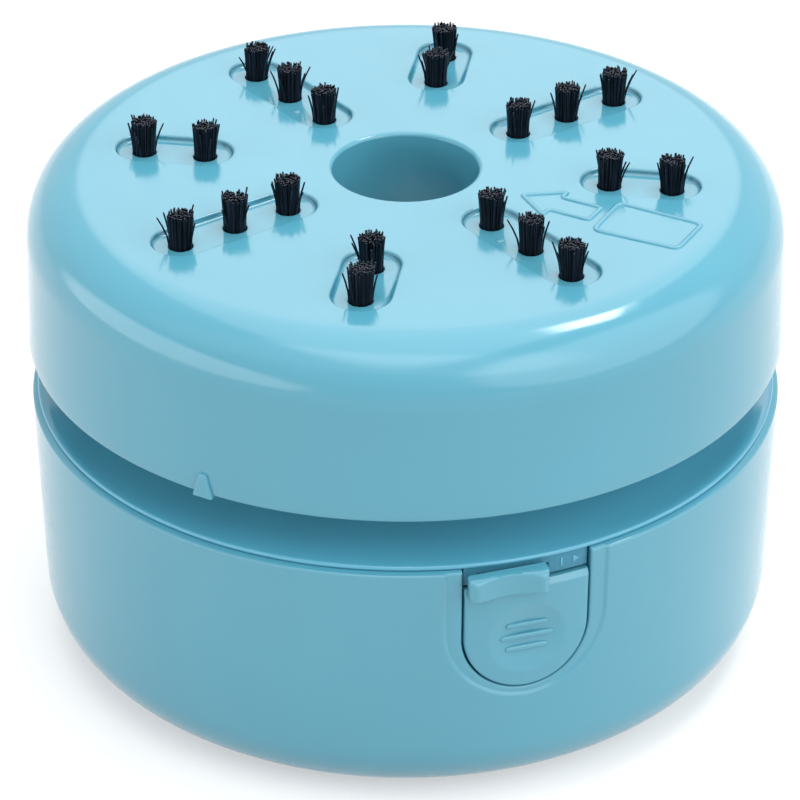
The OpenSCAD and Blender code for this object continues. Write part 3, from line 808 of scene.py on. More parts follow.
@dataclass
class BrushCover(Moulding):
    """The round cover with the suction hole and the slots.

    Attributes:
        nubs: Slots that have a moulding pin's nub, and how far it lies to their side.
        collar: Radii of the collar: its bore, the outside of the bayonet's ways, and its outside.
        collar_levels: Heights of the collar's foot, of the ways' steps and of their heads.
        way_half: Half the angle of a way, in degrees.
        twist: How far the cover turns to lock, in degrees.
        frame_mark: Corners of the empty frame on the plate.
        arrow_mark: Corners of the arrow, along its shaft and across it.
        index_half: Half the width of the wedge on the skirt, at its foot and at its top.
    """

    levels: Levels
    layout: BrushLayout
    columns: int = 288
    hole_columns: int = 120
    round_width: float = 6.4
    round_height: float = 6.9
    narrowing: float = 0.4
    skirt_edge: float = 0.3
    hole: float = 8.2
    hole_lip: float = 0.5
    tube_wall: float = 1.8
    tube_end: float = 47.6
    tube_edge: float = 0.2
    slot_lip: float = 0.3
    slot_fillet: float = 0.4
    boss_depth: float = 2.4
    boss_half: float = 2.5
    tuft_play: float = 0.06
    tuft_hole_depth: float = 1.4
    nub_radius: float = 0.5
    nub_height: float = 0.22
    nubs: tuple[tuple[int, float], ...] = ((3, 1.5), (7, -1.5))
    collar: Point = (34.8, 36.0, 36.6)
    collar_levels: tuple[float, ...] = (40.0, 42.1, 44.2, 44.5)
    way_half: float = 4.5
    twist: float = 22.0
    seal_ring: Flat = (33.0, 34.9)
    seal_level: float = 46.35
    rib_half: float = 0.6
    rib_drop: Flat = (7.0, 3.0)
    mark_width: float = 0.62
    mark_height: float = 0.2
    frame_mark: tuple[Flat, ...] = ((14.71, -20.63), (21.79, -27.43), (26.38, -23.05), (19.55, -15.63))
    arrow_mark: tuple[Flat, ...] = ((4.9, -1.6), (4.9, -3), (9, 0), (4.9, 3), (4.9, 1.6), (0, 1.6), (0, -1.6))
    arrow_foot: Flat = (16.2, -17.2)
    arrow_azimuth: float = 132.852
    index_azimuth: float = -137.6
    index_half: Flat = (1.25, 0.45)
    index_span: Flat = (-0.35, 2.5)
    index_reach: Flat = (-1.0, 0.42)
    index_lean: float = 0.12
    body = Body.BRUSH_HEAD

    @property
    def flat(self) -> float:
        """Radius of the flat part of the plate."""
        return self.levels.radius - self.narrowing - self.round_width

    def build(self) -> list[Piece]:
        """Builds the cover and what is moulded on it.

        Returns:
            The finished pieces.
        """
        draft = MeshDraft()
        draft.revolve(self.skirt(), self.columns)
        draft.revolve(self.tube(), self.hole_columns)
        self.add_plate(draft)
        self.add_ceiling(draft)
        return [
            self.seat(draft, "brush_cover", "brush_base"),
            self.seat(self.bayonet_collar(), "bayonet_collar", bevel=0.08),
            self.seat(self.index_mark(), "index_mark", bevel=0.22),
            self.seat(self.plate_marks(), "plate_marks", sharp=60),
        ]

    def skirt(self) -> list[Flat]:
        """Section of the rounded edge, the skirt and its inner side.

        Returns:
            Points as (radius, height).
        """
        v, e = self.levels, self.skirt_edge
        bend, inner = (self.flat, v.plate - self.round_height), v.radius - v.wall
        return [
            (self.flat - v.guard, v.plate),
            *arc(bend, (self.round_width, self.round_height), 90, 0, 28),
            *line((v.radius - self.narrowing, bend[1]), (v.radius, v.skirt + e), 8)[1:],
            *arc((v.radius - e, v.skirt + e), (e, e), 0, -90, 5)[1:],
            *arc((inner + e, v.skirt + e), (e, e), -90, -180, 4),
            *line((inner, v.skirt + e), (inner - self.narrowing, bend[1]), 4)[1:],
            *arc(bend, (self.round_width - v.wall, self.round_height - v.plate + v.ceiling), 0, 90, 12)[1:],
            (self.flat - v.guard, v.ceiling),
        ]

    def tube(self) -> list[Flat]:
        """Section of the suction tube and the lip of its hole.

        Returns:
            Points as (radius, height).
        """
        v, outer, e = self.levels, self.hole + self.tube_wall, self.tube_edge
        lip = (self.hole + self.hole_lip, v.plate - self.hole_lip)
        return [
            (outer + v.guard, v.ceiling),
            (outer, v.ceiling),
            *line((outer, v.ceiling - e), (outer, self.tube_end + e), 5),
            (outer - e, self.tube_end),
            (self.hole + e, self.tube_end),
            *line((self.hole, self.tube_end + e), (self.hole, lip[1]), 8),
            *arc(lip, (self.hole_lip, self.hole_lip), 180, 90, 8)[1:],
            (lip[0] + v.guard, v.plate),
        ]

    def slot_outline(self, slot: int, half: float) -> list[Flat]:
        """Outline of a slot at a given half-width."""
        reaches = self.layout.reaches(slot)
        return stadium(reaches[-1], reaches[0], half, self.layout.azimuth(slot))

    def plate_edges(self, bore: float) -> list[list[Flat]]:
        """The outer edge of a flat side of the plate, and the edge round its hole."""
        guard = self.levels.guard
        return [circle(self.flat - guard, self.columns), circle(bore + guard, self.hole_columns)]

    def add_plate(self, draft: MeshDraft) -> None:
        """Adds the flat plate and sinks its slots.

        Args:
            draft: The mesh to add to.
        """
        v, y = self.levels, self.layout
        loops = self.plate_edges(self.hole + self.hole_lip)
        for slot in range(y.slots):
            loops.append(self.slot_outline(slot, y.half_width + self.slot_lip + v.guard))
            self.sink_slot(draft, slot)
        draft.fill([at_height(loop, v.plate) for loop in loops])

    def add_ceiling(self, draft: MeshDraft) -> None:
        """Adds the inner side of the plate, with the bosses that back the tufts.

        Args:
            draft: The mesh to add to.
        """
        v = self.levels
        loops = self.plate_edges(self.hole + self.tube_wall)
        for slot in range(self.layout.slots):
            loops.append(self.slot_outline(slot, self.boss_half))
            rows = [at_height(loops[-1], z) for z in (v.ceiling, v.ceiling - self.boss_depth)]
            draft.grid(rows, wrap=True)
            draft.fill([rows[1]])
        draft.fill([at_height(loop, v.ceiling) for loop in loops])

    def sink_slot(self, draft: MeshDraft, slot: int) -> None:
        """Adds the walls and the floor of a slot, with a hole for each tuft.

        Args:
            draft: The mesh to add to.
            slot: Which slot.
        """
        v, y, lip, fillet = self.levels, self.layout, self.slot_lip, self.slot_fillet
        floor = v.plate - y.depth
        steps = [
            (lip + v.guard, v.plate),
            *arc((lip, v.plate - lip), (lip, lip), 90, 180, 6),
            *arc((-fillet - 0.04, floor + fillet), (fillet, fillet), 0, -90, 6),
            (-fillet - v.guard, floor),
        ]
        rows = [at_height(self.slot_outline(slot, y.half_width + grow), z) for grow, z in steps]
        draft.grid(rows, wrap=True)
        holes = [self.tuft_hole(draft, polar(reach, y.azimuth(slot)), floor) for reach in y.reaches(slot)]
        for side in (side for owner, side in self.nubs if owner == slot):
            place = turned([(y.outer - 1.5 * y.pitch, side)], y.azimuth(slot))[0]
            holes.append(self.nub(draft, place, floor))
        draft.fill([rows[-1], *holes])

    def tuft_hole(self, draft: MeshDraft, place: Flat, floor: float) -> Sequence[Point]:
        """Adds the hole that holds a tuft.

        Args:
            draft: The mesh to add to.
            place: Its middle.
            floor: Height of the slot's floor.

        Returns:
            The ring where it meets the floor.
        """
        radius, end = self.layout.tuft_radius + self.tuft_play, floor - self.tuft_hole_depth
        lip = ((0.2, 0.0), (0.08, 0.0), (0.02, 0.02), (0.0, 0.08))
        steps = [*((radius + out, floor - down) for out, down in lip), (radius, end)]
        return draft.domed(rings(place, steps, 28), (*place, end))

    def nub(self, draft: MeshDraft, place: Flat, floor: float) -> Sequence[Point]:
        """Adds the small round nub that a moulding pin leaves.

        Args:
            draft: The mesh to add to.
            place: Its middle.
            floor: Height of the slot's floor.

        Returns:
            The ring where it meets the floor.
        """
        dome = arc((0, floor), (self.nub_radius, self.nub_height), 0, 80, 5)
        steps = [(self.nub_radius + 0.12, floor), *dome]
        return draft.domed(rings(place, steps, 20), (*place, floor + self.nub_height))

    def bayonet_collar(self) -> MeshDraft:
        """Makes the collar that turns on the neck, with the ways of the bayonet lugs and the ribs round it.

        Returns:
            The mesh.
        """
        v, half, top = self.levels, self.way_half, self.levels.ceiling + 0.1
        turns = (-half - self.twist, half - self.twist, -half, half)
        angles = sorted({*range(0, 360, 3), *(45 + 90 * i + turn for i in range(4) for turn in turns)})
        ends = [*angles, 360]

        def filled(i: int, j: int, k: int) -> bool:
            """Whether a cell is solid.

            Args:
                i: Its radial index. Only the inner cells make room for the ways.
                j: Its angular index.
                k: Its height index.

            Returns:
                Whether it is.
            """
            turn = (ends[j] + ends[j + 1]) / 2 % 90 - 45
            in_turn = turns[0] < turn < turns[3] and k in (1, 2)
            in_entry = turns[0] < turn < turns[1] and k in (0, 1)
            return i == 1 or not (in_turn or in_entry)

        draft = MeshDraft()
        draft.cells(self.collar, angles, [*self.collar_levels, top], filled)
        (inner, outer), low = self.seal_ring, self.seal_level
        draft.revolve([(inner, low), (outer, low), (outer, top), (inner, top), (inner, low)], 144)
        for i in range(self.layout.slots):
            low_corner = (self.collar[2] - 0.1, -self.rib_half, v.ceiling - self.rib_drop[0])
            high_corner = (v.radius - v.wall - 0.2, self.rib_half, v.ceiling - self.rib_drop[1])
            draft.block(low_corner, high_corner, self.layout.azimuth(i + 0.5))
        return draft

    def plate_marks(self) -> MeshDraft:
        """Makes the raised outlines on the plate: a plain arrow that points at the hole, and an empty frame.

        Returns:
            The mesh.
        """
        half = self.mark_width / 2
        dome = arc((0, 0), (half, self.mark_height), 180, 0, 8)
        section = [(-half - 0.02, -0.05), *dome, (half + 0.02, -0.05)]
        x0, y0 = self.arrow_foot
        arrow = [(x0 + x, y0 + y) for x, y in turned(self.arrow_mark, self.arrow_azimuth)]
        draft = MeshDraft()
        for corners, reach in ((self.frame_mark, 0.9), (arrow, 0.45)):
            outline = rounded(corners, reach)
            rows = [at_height(shrunk(outline, inset), self.levels.plate + lift) for inset, lift in section]
            draft.grid(rows, wrap=True)
        return draft

    def index_mark(self) -> MeshDraft:
        """Makes the wedge on the skirt that shows where the cover locks.

        Returns:
            The mesh.
        """
        draft = MeshDraft()
        (foot, top), lean = self.index_half, self.index_lean
        low, high = (self.levels.skirt + step for step in self.index_span)
        rows = []
        for x in (self.levels.radius + reach for reach in self.index_reach):
            row = [(x, -foot, low), (x, foot, low), (x - lean, top, high), (x - lean, -top, high)]
            rows.append(turned(row, self.index_azimuth))
        draft.closed(rows)
        return draft


@dataclass
class Tufts(Moulding):
    """The nylon tufts, one object for each slot.

    Attributes:
        strays: Strands of a tuft that stand out sideways.
        stray_leans: How far these may lean out.
        sides: Sides of a strand.
        tip_share: Thickness of a strand's tip, as a share of its own.
        flare: How far the outer strands lean out.
        tilt: How far a whole tuft may lean.
        uneven: How much the heights of the tips vary.
        sunk: How deep the strands reach into their hole.
        seed: Start of the random draws of the first slot.
    """

    levels: Levels
    layout: BrushLayout
    strands: int = 132
    strays: int = 6
    strand_radius: float = 0.112
    stray_leans: tuple[float, ...] = (0.55, 0.75, 1.0, 1.35)
    sides: int = 5
    tip_share: float = 0.86
    flare: float = 0.26
    tilt: float = 0.1
    uneven: float = 0.28
    sunk: float = 1.2
    seed: int = 100
    body = Body.BRUSH_HEAD
    slot = "bristle_black"

    def build(self) -> list[Piece]:
        """Builds every slot's tufts.

        Returns:
            The finished pieces.
        """
        pieces = []
        for slot in range(self.layout.slots):
            rng = random.Random(self.seed + slot)
            draft = MeshDraft()
            for reach in self.layout.reaches(slot):
                self.add_tuft(draft, polar(reach, self.layout.azimuth(slot)), rng)
            pieces.append(self.seat(draft, f"tufts_{slot + 1}", f"bristle_row_{slot + 1}", sharp=60))
        return pieces

    def add_tuft(self, draft: MeshDraft, place: Flat, rng: random.Random) -> None:
        """Adds one tuft: a packed round bundle that opens a little towards its tips, and a few strays.

        Args:
            draft: The mesh to add to.
            place: Its middle.
            rng: Source of its irregularities.
        """
        golden = math.pi * (3 - math.sqrt(5))
        limit = self.layout.tuft_radius - self.strand_radius
        tip = self.levels.plate + self.layout.tip_height
        tuft = (place, (rng.uniform(-self.tilt, self.tilt), rng.uniform(-self.tilt, self.tilt)))
        for i in range(self.strands):
            share = math.sqrt((i + 0.5) / self.strands)
            turn = i * golden + rng.uniform(-0.12, 0.12)
            lean = self.flare * share**1.7 + rng.uniform(-0.05, 0.06)
            top = tip - abs(rng.gauss(0, self.uneven)) + 0.15 * share
            draft.closed(self.strand(tuft, (limit * share, turn), lean, top, rng))
        for _ in range(self.strays):
            turn = rng.uniform(0, 2 * math.pi)
            lean = rng.choice(self.stray_leans)
            draft.closed(self.strand(tuft, (limit + 0.04, turn), lean, tip - rng.uniform(0.0, 1.0), rng))

    def strand(
        self, tuft: tuple[Flat, Flat], root: Flat, lean: float, top: float, rng: random.Random
    ) -> list[list[Point]]:
        """Rings of points along one strand.

        Args:
            tuft: Middle of its tuft, and how far the whole tuft leans.
            root: Its distance and direction from the middle of the tuft, in millimetres and radians.
            lean: How far its tip stands outward of its root.
            top: Height of its tip.
            rng: Source of its small bends.

        Returns:
            The rings, upward.
        """
        (place, tilt), floor = tuft, self.levels.plate - self.layout.depth
        twist, bend = rng.uniform(-0.10, 0.10), rng.uniform(-0.06, 0.06)
        along, across = math.cos(root[1]), math.sin(root[1])
        rows = []
        for t in (-self.sunk / (top - floor), 0.0, 0.35, 0.7, 1.0):
            rise = max(t, 0.0)
            out = root[0] + lean * rise**1.6
            side = twist * rise + bend * math.sin(math.pi * rise)
            x = place[0] + out * along - side * across + tilt[0] * rise
            y = place[1] + out * across + side * along + tilt[1] * rise
            thick = self.strand_radius * (1.0 if t < 1.0 else self.tip_share)
            rows.append(at_height(circle(thick, self.sides, (x, y)), lerp(floor, top, t)))
        return rows


@dataclass
class MidFrame(Moulding):
    """The flange with its hollow-curved neck, the air ports, and what hangs under the deck.

    Attributes:
        panel_shaded_finish: Material of the panel beside the knob, a darker copy of the aqua that carries
            painted shade from the flange's rim.
        across: Columns of the mesh over a port, and over the bar between two ports.
        flare: Half-widths of the ellipse that the neck's hollow follows.
        flare_start: Angle on it where the flange ends, in degrees.
        spigot: Inner and outer radius of the ring that enters the shell.
        window_half: Half the width of the opening that the button's back needs in that ring.
        slot_span: The ends of the slot for the knob's stem.
        lug_reach: How far the bayonet lugs start inside the neck's face, and how far they stand out of it.
        lug_half: Half the angle of a lug, in degrees.
    """

    levels: Levels
    panel_shaded_finish: Material
    ports: int = 20
    port_half: float = 2.8
    port_foot: float = 34.8
    port_head: float = 37.8
    across: int = 6
    flare: Flat = (8.5, 6.5)
    flare_start: float = 263.4
    rim_inset: float = 0.65
    rim_edge: float = 0.3
    rim_round: float = 0.28
    neck_edge: float = 0.4
    bore_edge: float = 0.2
    deck_rings: Point = (8.0, 20.0, 32.0)
    shaft_hole: float = 3.35
    spigot: Flat = (39.2, 40.7)
    spigot_foot: float = 27.3
    window_half: float = 8.6
    window_head: float = 29.15
    panel: float = 42.0
    panel_half: float = 7.0
    panel_foot: float = 29.2
    slot_span: Flat = (-5.5, 2.4)
    slot_head: float = 30.6
    marks_level: float = 30.35
    bar_at: float = 3.9
    triangle_at: float = 5.6
    lug_reach: Flat = (-0.3, 1.3)
    lug_half: float = 4.0
    lug_span: Flat = (42.4, 44.2)
    post_inset: float = 6.0
    post_radius: float = 2.5
    post_head: float = 39.0
    boss_places: Flat = (4.8, 18.5)
    boss_radius: float = 2.6
    boss_foot: float = 19.7
    post_edge: float = 0.15
    wall_foot: float = 18.9
    wall_half: float = 6.0
    wall_depths: Flat = (-33.4, -31.9)
    cheek_place: float = 5.4
    cheek_half: float = 0.6
    cheek_depths: Flat = (-35.0, -33.3)
    hook_foot: float = 20.8
    hook_azimuths: Flat = (84.0, 96.0)
    hook_arm: Flat = (37.6, 39.25)
    hook_nose: Flat = (39.2, 40.2)
    hook_nose_height: float = 1.2

    def build(self) -> list[Piece]:
        """Builds the neck, the spigot, the panel beside the knob and the parts under the deck.

        Returns:
            The finished pieces.
        """
        pieces = [
            self.seat(self.neck(), "neck_and_flange", "mid_frame", sharp=45),
            self.seat(self.spigot_ring(), "spigot", bevel=0.12),
            self.seat(self.switch_panel(), "switch_panel", bevel=0.1),
            self.seat(self.switch_marks(), "switch_marks"),
            self.seat(self.lugs(), "bayonet_lugs", bevel=0.15),
            self.seat(self.posts(), "posts"),
            self.seat(self.spring_wall(), "spring_wall", bevel=0.15),
        ]
        # The panel beside the knob takes the darker aqua: painted shade under the flange's rim.
        pieces[2].data.materials[0] = self.panel_shaded_finish
        return pieces

    def column(self, radius: float, j: int) -> float:
        """Azimuth of a column of the neck. The sides of a port are parallel, so it depends on the radius.

        Args:
            radius: The radius there.
            j: Index of the column.

        Returns:
            The azimuth, in degrees.
        """
        cell, k = divmod(j, 2 * self.across)
        pitch = 360 / self.ports
        edge = math.degrees(math.asin(self.port_half / max(radius, self.levels.neck_bore)))
        if k <= self.across:
            return cell * pitch + edge * (2 * k / self.across - 1)
        return cell * pitch + edge + (pitch - 2 * edge) * (k - self.across) / self.across

    def neck(self) -> MeshDraft:
        """Makes the flange, the flare, the neck with its ports, and the deck.

        Returns:
            The mesh.
        """
        v, e, t = self.levels, self.rim_edge, self.rim_round
        middle = (v.neck + self.flare[0], v.skirt + 0.5)
        shares = ((z - middle[1]) / self.flare[1] for z in (self.port_foot, self.port_head))
        foot, head = (180 - math.degrees(math.asin(share)) for share in shares)
        rim, rim_top = v.radius - self.rim_inset, v.shell_top + v.rim
        flange = [
            (self.spigot[0], v.shell_top),
            (rim - e - 0.3, v.shell_top),
            *arc((rim - e, v.shell_top + e), (e, e), -90, 0, 4),
            *arc((rim - t, rim_top - t), (t, t), 0, 90, 5),
        ]
        flare = arc(middle, self.flare, self.flare_start, foot, 18)
        port_rows = arc(middle, self.flare, foot, head, 6)[1:]
        bore, edge, nose = v.neck_bore, self.bore_edge, self.neck_edge
        top = [
            *arc(middle, self.flare, head, 180, 2)[1:],
            *line((v.neck, v.skirt + 1.2), (v.neck, v.neck_top - nose), 6),
            *arc((v.neck - nose, v.neck_top - nose), (nose, nose), 0, 90, 4)[1:],
            (bore + edge, v.neck_top),
            (bore, v.neck_top - edge),
            (bore, v.skirt + 0.6),
        ]
        deck = [
            (bore, v.deck_top + 0.5),
            (bore - 0.15, v.deck_top + 0.15),
            (bore - 0.5, v.deck_top),
            *((ring, v.deck_top) for ring in reversed(self.deck_rings[:2])),
            (self.shaft_hole + edge, v.deck_top),
            (self.shaft_hole, v.deck_top - edge),
            (self.shaft_hole, v.shell_top),
            *((ring, v.shell_top) for ring in self.deck_rings),
            flange[0],
        ]
        inner_rows = [(bore, z) for _, z in reversed([flare[-1], *port_rows])]
        profile = flange + flare + port_rows + top + inner_rows + deck
        foot_out = len(flange) + len(flare) - 1
        head_out = foot_out + len(port_rows)
        head_in = head_out + len(top) + 1
        foot_in = head_in + len(port_rows)
        columns = 2 * self.across * self.ports

        def keep(i: int, j: int) -> bool:
            """Leaves out the quads where a port goes through."""
            in_port = j % (2 * self.across) < self.across
            return not (in_port and (foot_out <= i < head_out or head_in <= i < foot_in))

        def point(i: int, j: int) -> Point:
            """The point of a row and a column."""
            r, z = profile[i]
            return around(r, self.column(r, j % columns), z)

        draft = MeshDraft()
        draft.grid([[point(i, j) for j in range(columns)] for i in range(len(profile))], wrap=True, keep=keep)
        for first in range(0, columns, 2 * self.across):
            last = first + self.across
            loops = []
            for low, high, step in ((foot_out, head_out, 1), (foot_in, head_in, -1)):
                edge = [(low, j) for j in range(first, last)]
                edge += [(i, last) for i in range(low, high, step)]
                edge += [(high, j) for j in range(last, first, -1)]
                edge += [(i, first) for i in range(high, low, -step)]
                loops.append([point(i, j) for i, j in edge])
            draft.grid(loops, wrap=True)
        return draft

    def spigot_ring(self) -> MeshDraft:
        """Makes the ring that enters the shell, with the window of the button.

        Returns:
            The mesh.
        """
        half = math.degrees(math.asin(self.window_half / self.spigot[0]))
        angles = sorted({*range(0, 360, 3), 270 - half, 270 + half})
        levels = [self.spigot_foot, self.window_head, self.levels.shell_top + self.levels.overlap]
        draft = MeshDraft()
        window = [270 - half <= azimuth < 270 + half for azimuth in angles]
        draft.cells(self.spigot, angles, levels, lambda i, j, k: k > 0 or not window[j])
        return draft

    def switch_panel(self) -> MeshDraft:
        """Makes the panel that closes the window over the button, with the slot of the knob's stem.

        Returns:
            The mesh.
        """
        reach, (slot_start, slot_end) = self.panel_half, self.slot_span
        xs = sorted({-reach, slot_start, slot_end, reach, *(lerp(-reach, reach, i / 12) for i in range(13))})
        angles = [270 + math.degrees(math.asin(x / self.panel)) for x in xs]
        levels = [self.panel_foot, self.slot_head, self.levels.shell_top + self.levels.overlap]

        def filled(i: int, j: int, k: int) -> bool:
            """Whether a cell is solid: not round the back, nor in the slot."""
            return j < len(xs) - 1 and (k == 1 or not slot_start <= xs[j] < slot_end)

        draft = MeshDraft()
        draft.cells([self.spigot[1] - self.levels.overlap, self.panel], angles, levels, filled)
        return draft

    def switch_marks(self) -> MeshDraft:
        """Makes the plain raised marks on the panel: a bar, and a triangle that points along the knob's way.

        Returns:
            The mesh.
        """
        draft = MeshDraft()
        bar = stadium(-0.42, 0.42, 0.13, 90.0, 5)
        triangle = [(-0.35, -0.42), (0.42, 0.0), (-0.35, 0.42)]
        for outline, x0 in ((bar, self.bar_at), (triangle, self.triangle_at)):
            rows = []
            for inset, lift in ((0.0, -0.1), (0.0, 0.05), (0.05, 0.1)):
                ring = [(x0 + x, self.marks_level + z) for x, z in shrunk(outline, inset)]
                rows.append([on_drum(self.panel + lift, x, z) for x, z in ring])
            draft.closed(rows)
        return draft

    def lugs(self) -> MeshDraft:
        """Makes the bayonet lugs of the neck.

        Returns:
            The mesh.
        """
        draft = MeshDraft()
        low, high = (self.levels.neck + reach for reach in self.lug_reach)
        for middle in (45, 135, 225, 315):
            draft.sector((low, high), (middle - self.lug_half, middle + self.lug_half), self.lug_span)
        return draft

    def posts(self) -> MeshDraft:
        """Makes the posts of the fan cover and the bosses that the battery holder is screwed to.

        Returns:
            The mesh.
        """
        v, e, (x, y) = self.levels, self.post_edge, self.boss_places
        draft = MeshDraft()
        post = (self.post_radius, v.deck_top - v.overlap, self.post_head)
        boss = (self.boss_radius, self.boss_foot, v.shell_top + v.overlap)
        places = [(polar(v.neck_bore - self.post_inset, azimuth), post) for azimuth in (45, 135, 225, 315)]
        places += [(place, boss) for place in ((-x, -y), (-x, y), (x, -y), (x, y))]
        for place, (radius, foot, head) in places:
            steps = ((radius - e, foot), (radius, foot + e), (radius, head - e), (radius - e, head))
            draft.closed(rings(place, steps, 32))
        return draft

    def spring_wall(self) -> MeshDraft:
        """Makes the wall that the button's spring bears on, and the fixed hook opposite it.

        Returns:
            The mesh.
        """
        draft = MeshDraft()
        foot, top = self.wall_foot, self.levels.shell_top + self.levels.overlap
        plates = [(0.0, self.wall_half, self.wall_depths)]
        for side in (-self.cheek_place, self.cheek_place):
            plates.append((side, self.cheek_half, self.cheek_depths))
        for x, half, (front, back) in plates:
            draft.block((x - half, front, foot), (x + half, back, top))
        nose_top = self.hook_foot + self.hook_nose_height
        draft.sector(self.hook_arm, self.hook_azimuths, (self.hook_foot, top))
        draft.sector(self.hook_nose, self.hook_azimuths, (self.hook_foot, nose_top))
        return draft


def on_drum(radius: float, x: float, z: float) -> Point:
    """The point of an upright drum in front of (x, z)."""
    return (x, -math.sqrt(radius**2 - x**2), z)


@dataclass
class TopShell(Moulding):
    """The cup with the recess and the window of the push button.

    Attributes:
        lip: How far the wall's face draws in at steps above the lip's foot, as (step, inset).
        patch_columns: Half the number of columns that the patch with the window takes.
        patch_row: The wall's row where the patch starts.
        shared_row: The wall's row where the straight sides of its loops start.
        window: Half-width of the window and height of the middle of its round bottom.
        pocket: The same for the recess round it.
        ledge: Inner and outer radius of the catches.
        button_ledge: Foot and head of the button's catch.
        button_ledge_half: Half its angle, in degrees.
        hook_ledge: Foot and head of the rear hook's catch.
        hook_ledge_half: Half its angle, in degrees.
        rib: Half the length of a rib under the cells, half its thickness, and its height.
    """

    levels: Levels
    columns: int = 288
    bottom_flat: float = 32.65
    bottom_height: float = 8.2
    bottom_start: float = 8.0
    low_radius: float = 42.5
    high_radius: float = 42.95
    lip_foot: float = 31.05
    lip: tuple[Flat, ...] = ((0.0, 0.0), (0.08, 0.02), (0.16, 0.08), (0.23, 0.19), (0.3, 0.35), (0.45, 0.9))
    patch_columns: int = 13
    patch_row: int = 5
    shared_row: int = 18
    pitch: float = 0.9
    window: Flat = (7.2, 22.6)
    pocket: Flat = (9.1, 23.7)
    pocket_depth: float = 0.25
    ledge: Flat = (39.7, 41.2)
    button_ledge: Flat = (12.6, 14.1)
    button_ledge_half: float = 6.5
    hook_ledge: Flat = (22.3, 23.8)
    hook_ledge_half: float = 8.0
    rib: Point = (22.4, 0.7, 1.2)
    rib_place: float = 15.0

    @property
    def patch_ends(self) -> Flat:
        """Azimuths where the patch starts and ends."""
        half = self.patch_columns * 360 / self.columns
        return (-90 - half, -90 + half)

    def radius_at(self, z: float, inset: float = 0.0) -> float:
        """Radius of the wall at a height. Its lip rounds off outside only.

        Args:
            z: The height.
            inset: How far inside the wall's face.

        Returns:
            The radius.
        """
        share = (z - self.bottom_height) / (self.lip_foot - self.bottom_height)
        lip = 0.0
        for (low, a), (high, b) in zip(self.lip, self.lip[1:]):
            if z - self.lip_foot > low:
                lip = lerp(a, b, min(1.0, (z - self.lip_foot - low) / (high - low)))
        face = lerp(self.low_radius, self.high_radius, min(1.0, share))
        return face - inset - lip * (1 - min(1.0, inset / self.levels.wall))

    def on_wall(self, x: float, z: float, inset: float) -> Point:
        """The point of the wall in front of (x, z), or a little inside it."""
        return on_drum(self.radius_at(z, inset), x, z)

    def rows(self) -> list[float]:
        """Heights of the rows of the wall.

        Returns:
            The heights, upward.
        """
        count = round((self.lip_foot - self.bottom_height) / self.pitch)
        low = [self.bottom_height + self.pitch * i for i in range(count)]
        return low + [self.lip_foot - 0.08, *(self.lip_foot + step for step, _ in self.lip)]

    def build(self) -> list[Piece]:
        """Builds the cup and what is moulded inside it.

        Returns:
            The finished pieces.
        """
        draft = MeshDraft()
        wall, top = self.levels.wall, self.levels.shell_top
        first, last = self.patch_ends

        def beside(j: int) -> bool:
            """Whether a column lies outside the patch."""
            return not first < (j + 0.5) * 360 / self.columns - 360 < last

        for inset, steps in ((0.0, 24), (wall, 12)):
            bend = (self.low_radius - self.bottom_flat - inset, self.bottom_height - inset)
            foot = [
                (0.0, inset),
                *line((self.bottom_start, inset), (self.bottom_flat - 0.3, inset), 4),
                *arc((self.bottom_flat, self.bottom_height), bend, -90, 0, steps)[:-1],
            ]
            start = len(foot) - 1 + self.patch_row
            profile = foot + [(self.radius_at(z, inset), z) for z in self.rows()]
            draft.revolve(profile, self.columns, lambda i, j, start=start: i < start or beside(j))
        rim = [(self.radius_at(top, inset), top) for inset in (0.0, wall)]
        draft.revolve(rim, self.columns, lambda i, j: beside(j))
        self.add_patch(draft)
        return [
            self.seat(draft, "top_shell_wall", "top_shell"),
            self.seat(self.catches(), "shell_catches", bevel=0.12),
        ]

    def catches(self) -> MeshDraft:
        """Makes the catches of the button and of the rear hook, and the ribs that hold the cells.

        Returns:
            The mesh.
        """
        draft = MeshDraft()
        for middle, spread, levels in (
            (-90, self.button_ledge_half, self.button_ledge),
            (90, self.hook_ledge_half, self.hook_ledge),
        ):
            draft.sector(self.ledge, (middle - spread, middle + spread), levels)
        (half, thick, high), floor = self.rib, self.levels.wall
        for y in (-self.rib_place, self.rib_place):
            draft.block((-half, y - thick, floor - 0.1), (half, y + thick, floor + high))
        return draft

    def border(self, inset: float) -> list[Point]:
        """Edge of the patch: down its left side, along its foot and up its right side.

        Args:
            inset: How far inside the wall's face.

        Returns:
            The points.
        """
        rows, (first, last) = self.rows()[self.patch_row :], self.patch_ends
        left, right = ([around(self.radius_at(z, inset), end, z) for z in rows] for end in (first, last))
        steps = 2 * self.patch_columns
        foot_radius = self.radius_at(rows[0], inset)
        foot = [around(foot_radius, lerp(first, last, i / steps), rows[0]) for i in range(1, steps)]
        return left[::-1] + foot + right

    def add_patch(self, draft: MeshDraft) -> None:
        """Adds the part of the wall that holds the recess and the window.

        Args:
            draft: The mesh to add to.
        """
        shared = self.rows()[self.shared_row :]
        bowl = 2 * (self.shared_row - self.patch_row) + 2 * self.patch_columns
        step, depth = self.pocket_depth, self.levels.wall

        def loop(shape: Flat, grow: float, inset: float) -> list[Point]:
            """A U round the window or the recess, with its sides led up to the lip.

            Args:
                shape: Half the width of the U, and the height of the middle of its bottom.
                grow: How much further out it runs.
                inset: How far inside the wall's face it lies.

            Returns:
                The points, down its left side and up its right one.
            """
            half, centre = shape[0] + grow, shape[1]
            path = u_path(half, centre, shared[0], 2, bowl - 4)
            sides = [(-half, z) for z in reversed(shared[1:])] + path + [(half, z) for z in shared[1:]]
            return [self.on_wall(x, z, inset) for x, z in sides]

        def between(a: list[Point], b: list[Point], t: float, inset: float) -> list[Point]:
            """A loop a share t of the way from loop a to loop b."""
            return [self.on_wall(lerp(p[0], q[0], t), lerp(p[2], q[2], t), inset) for p, q in zip(a, b)]

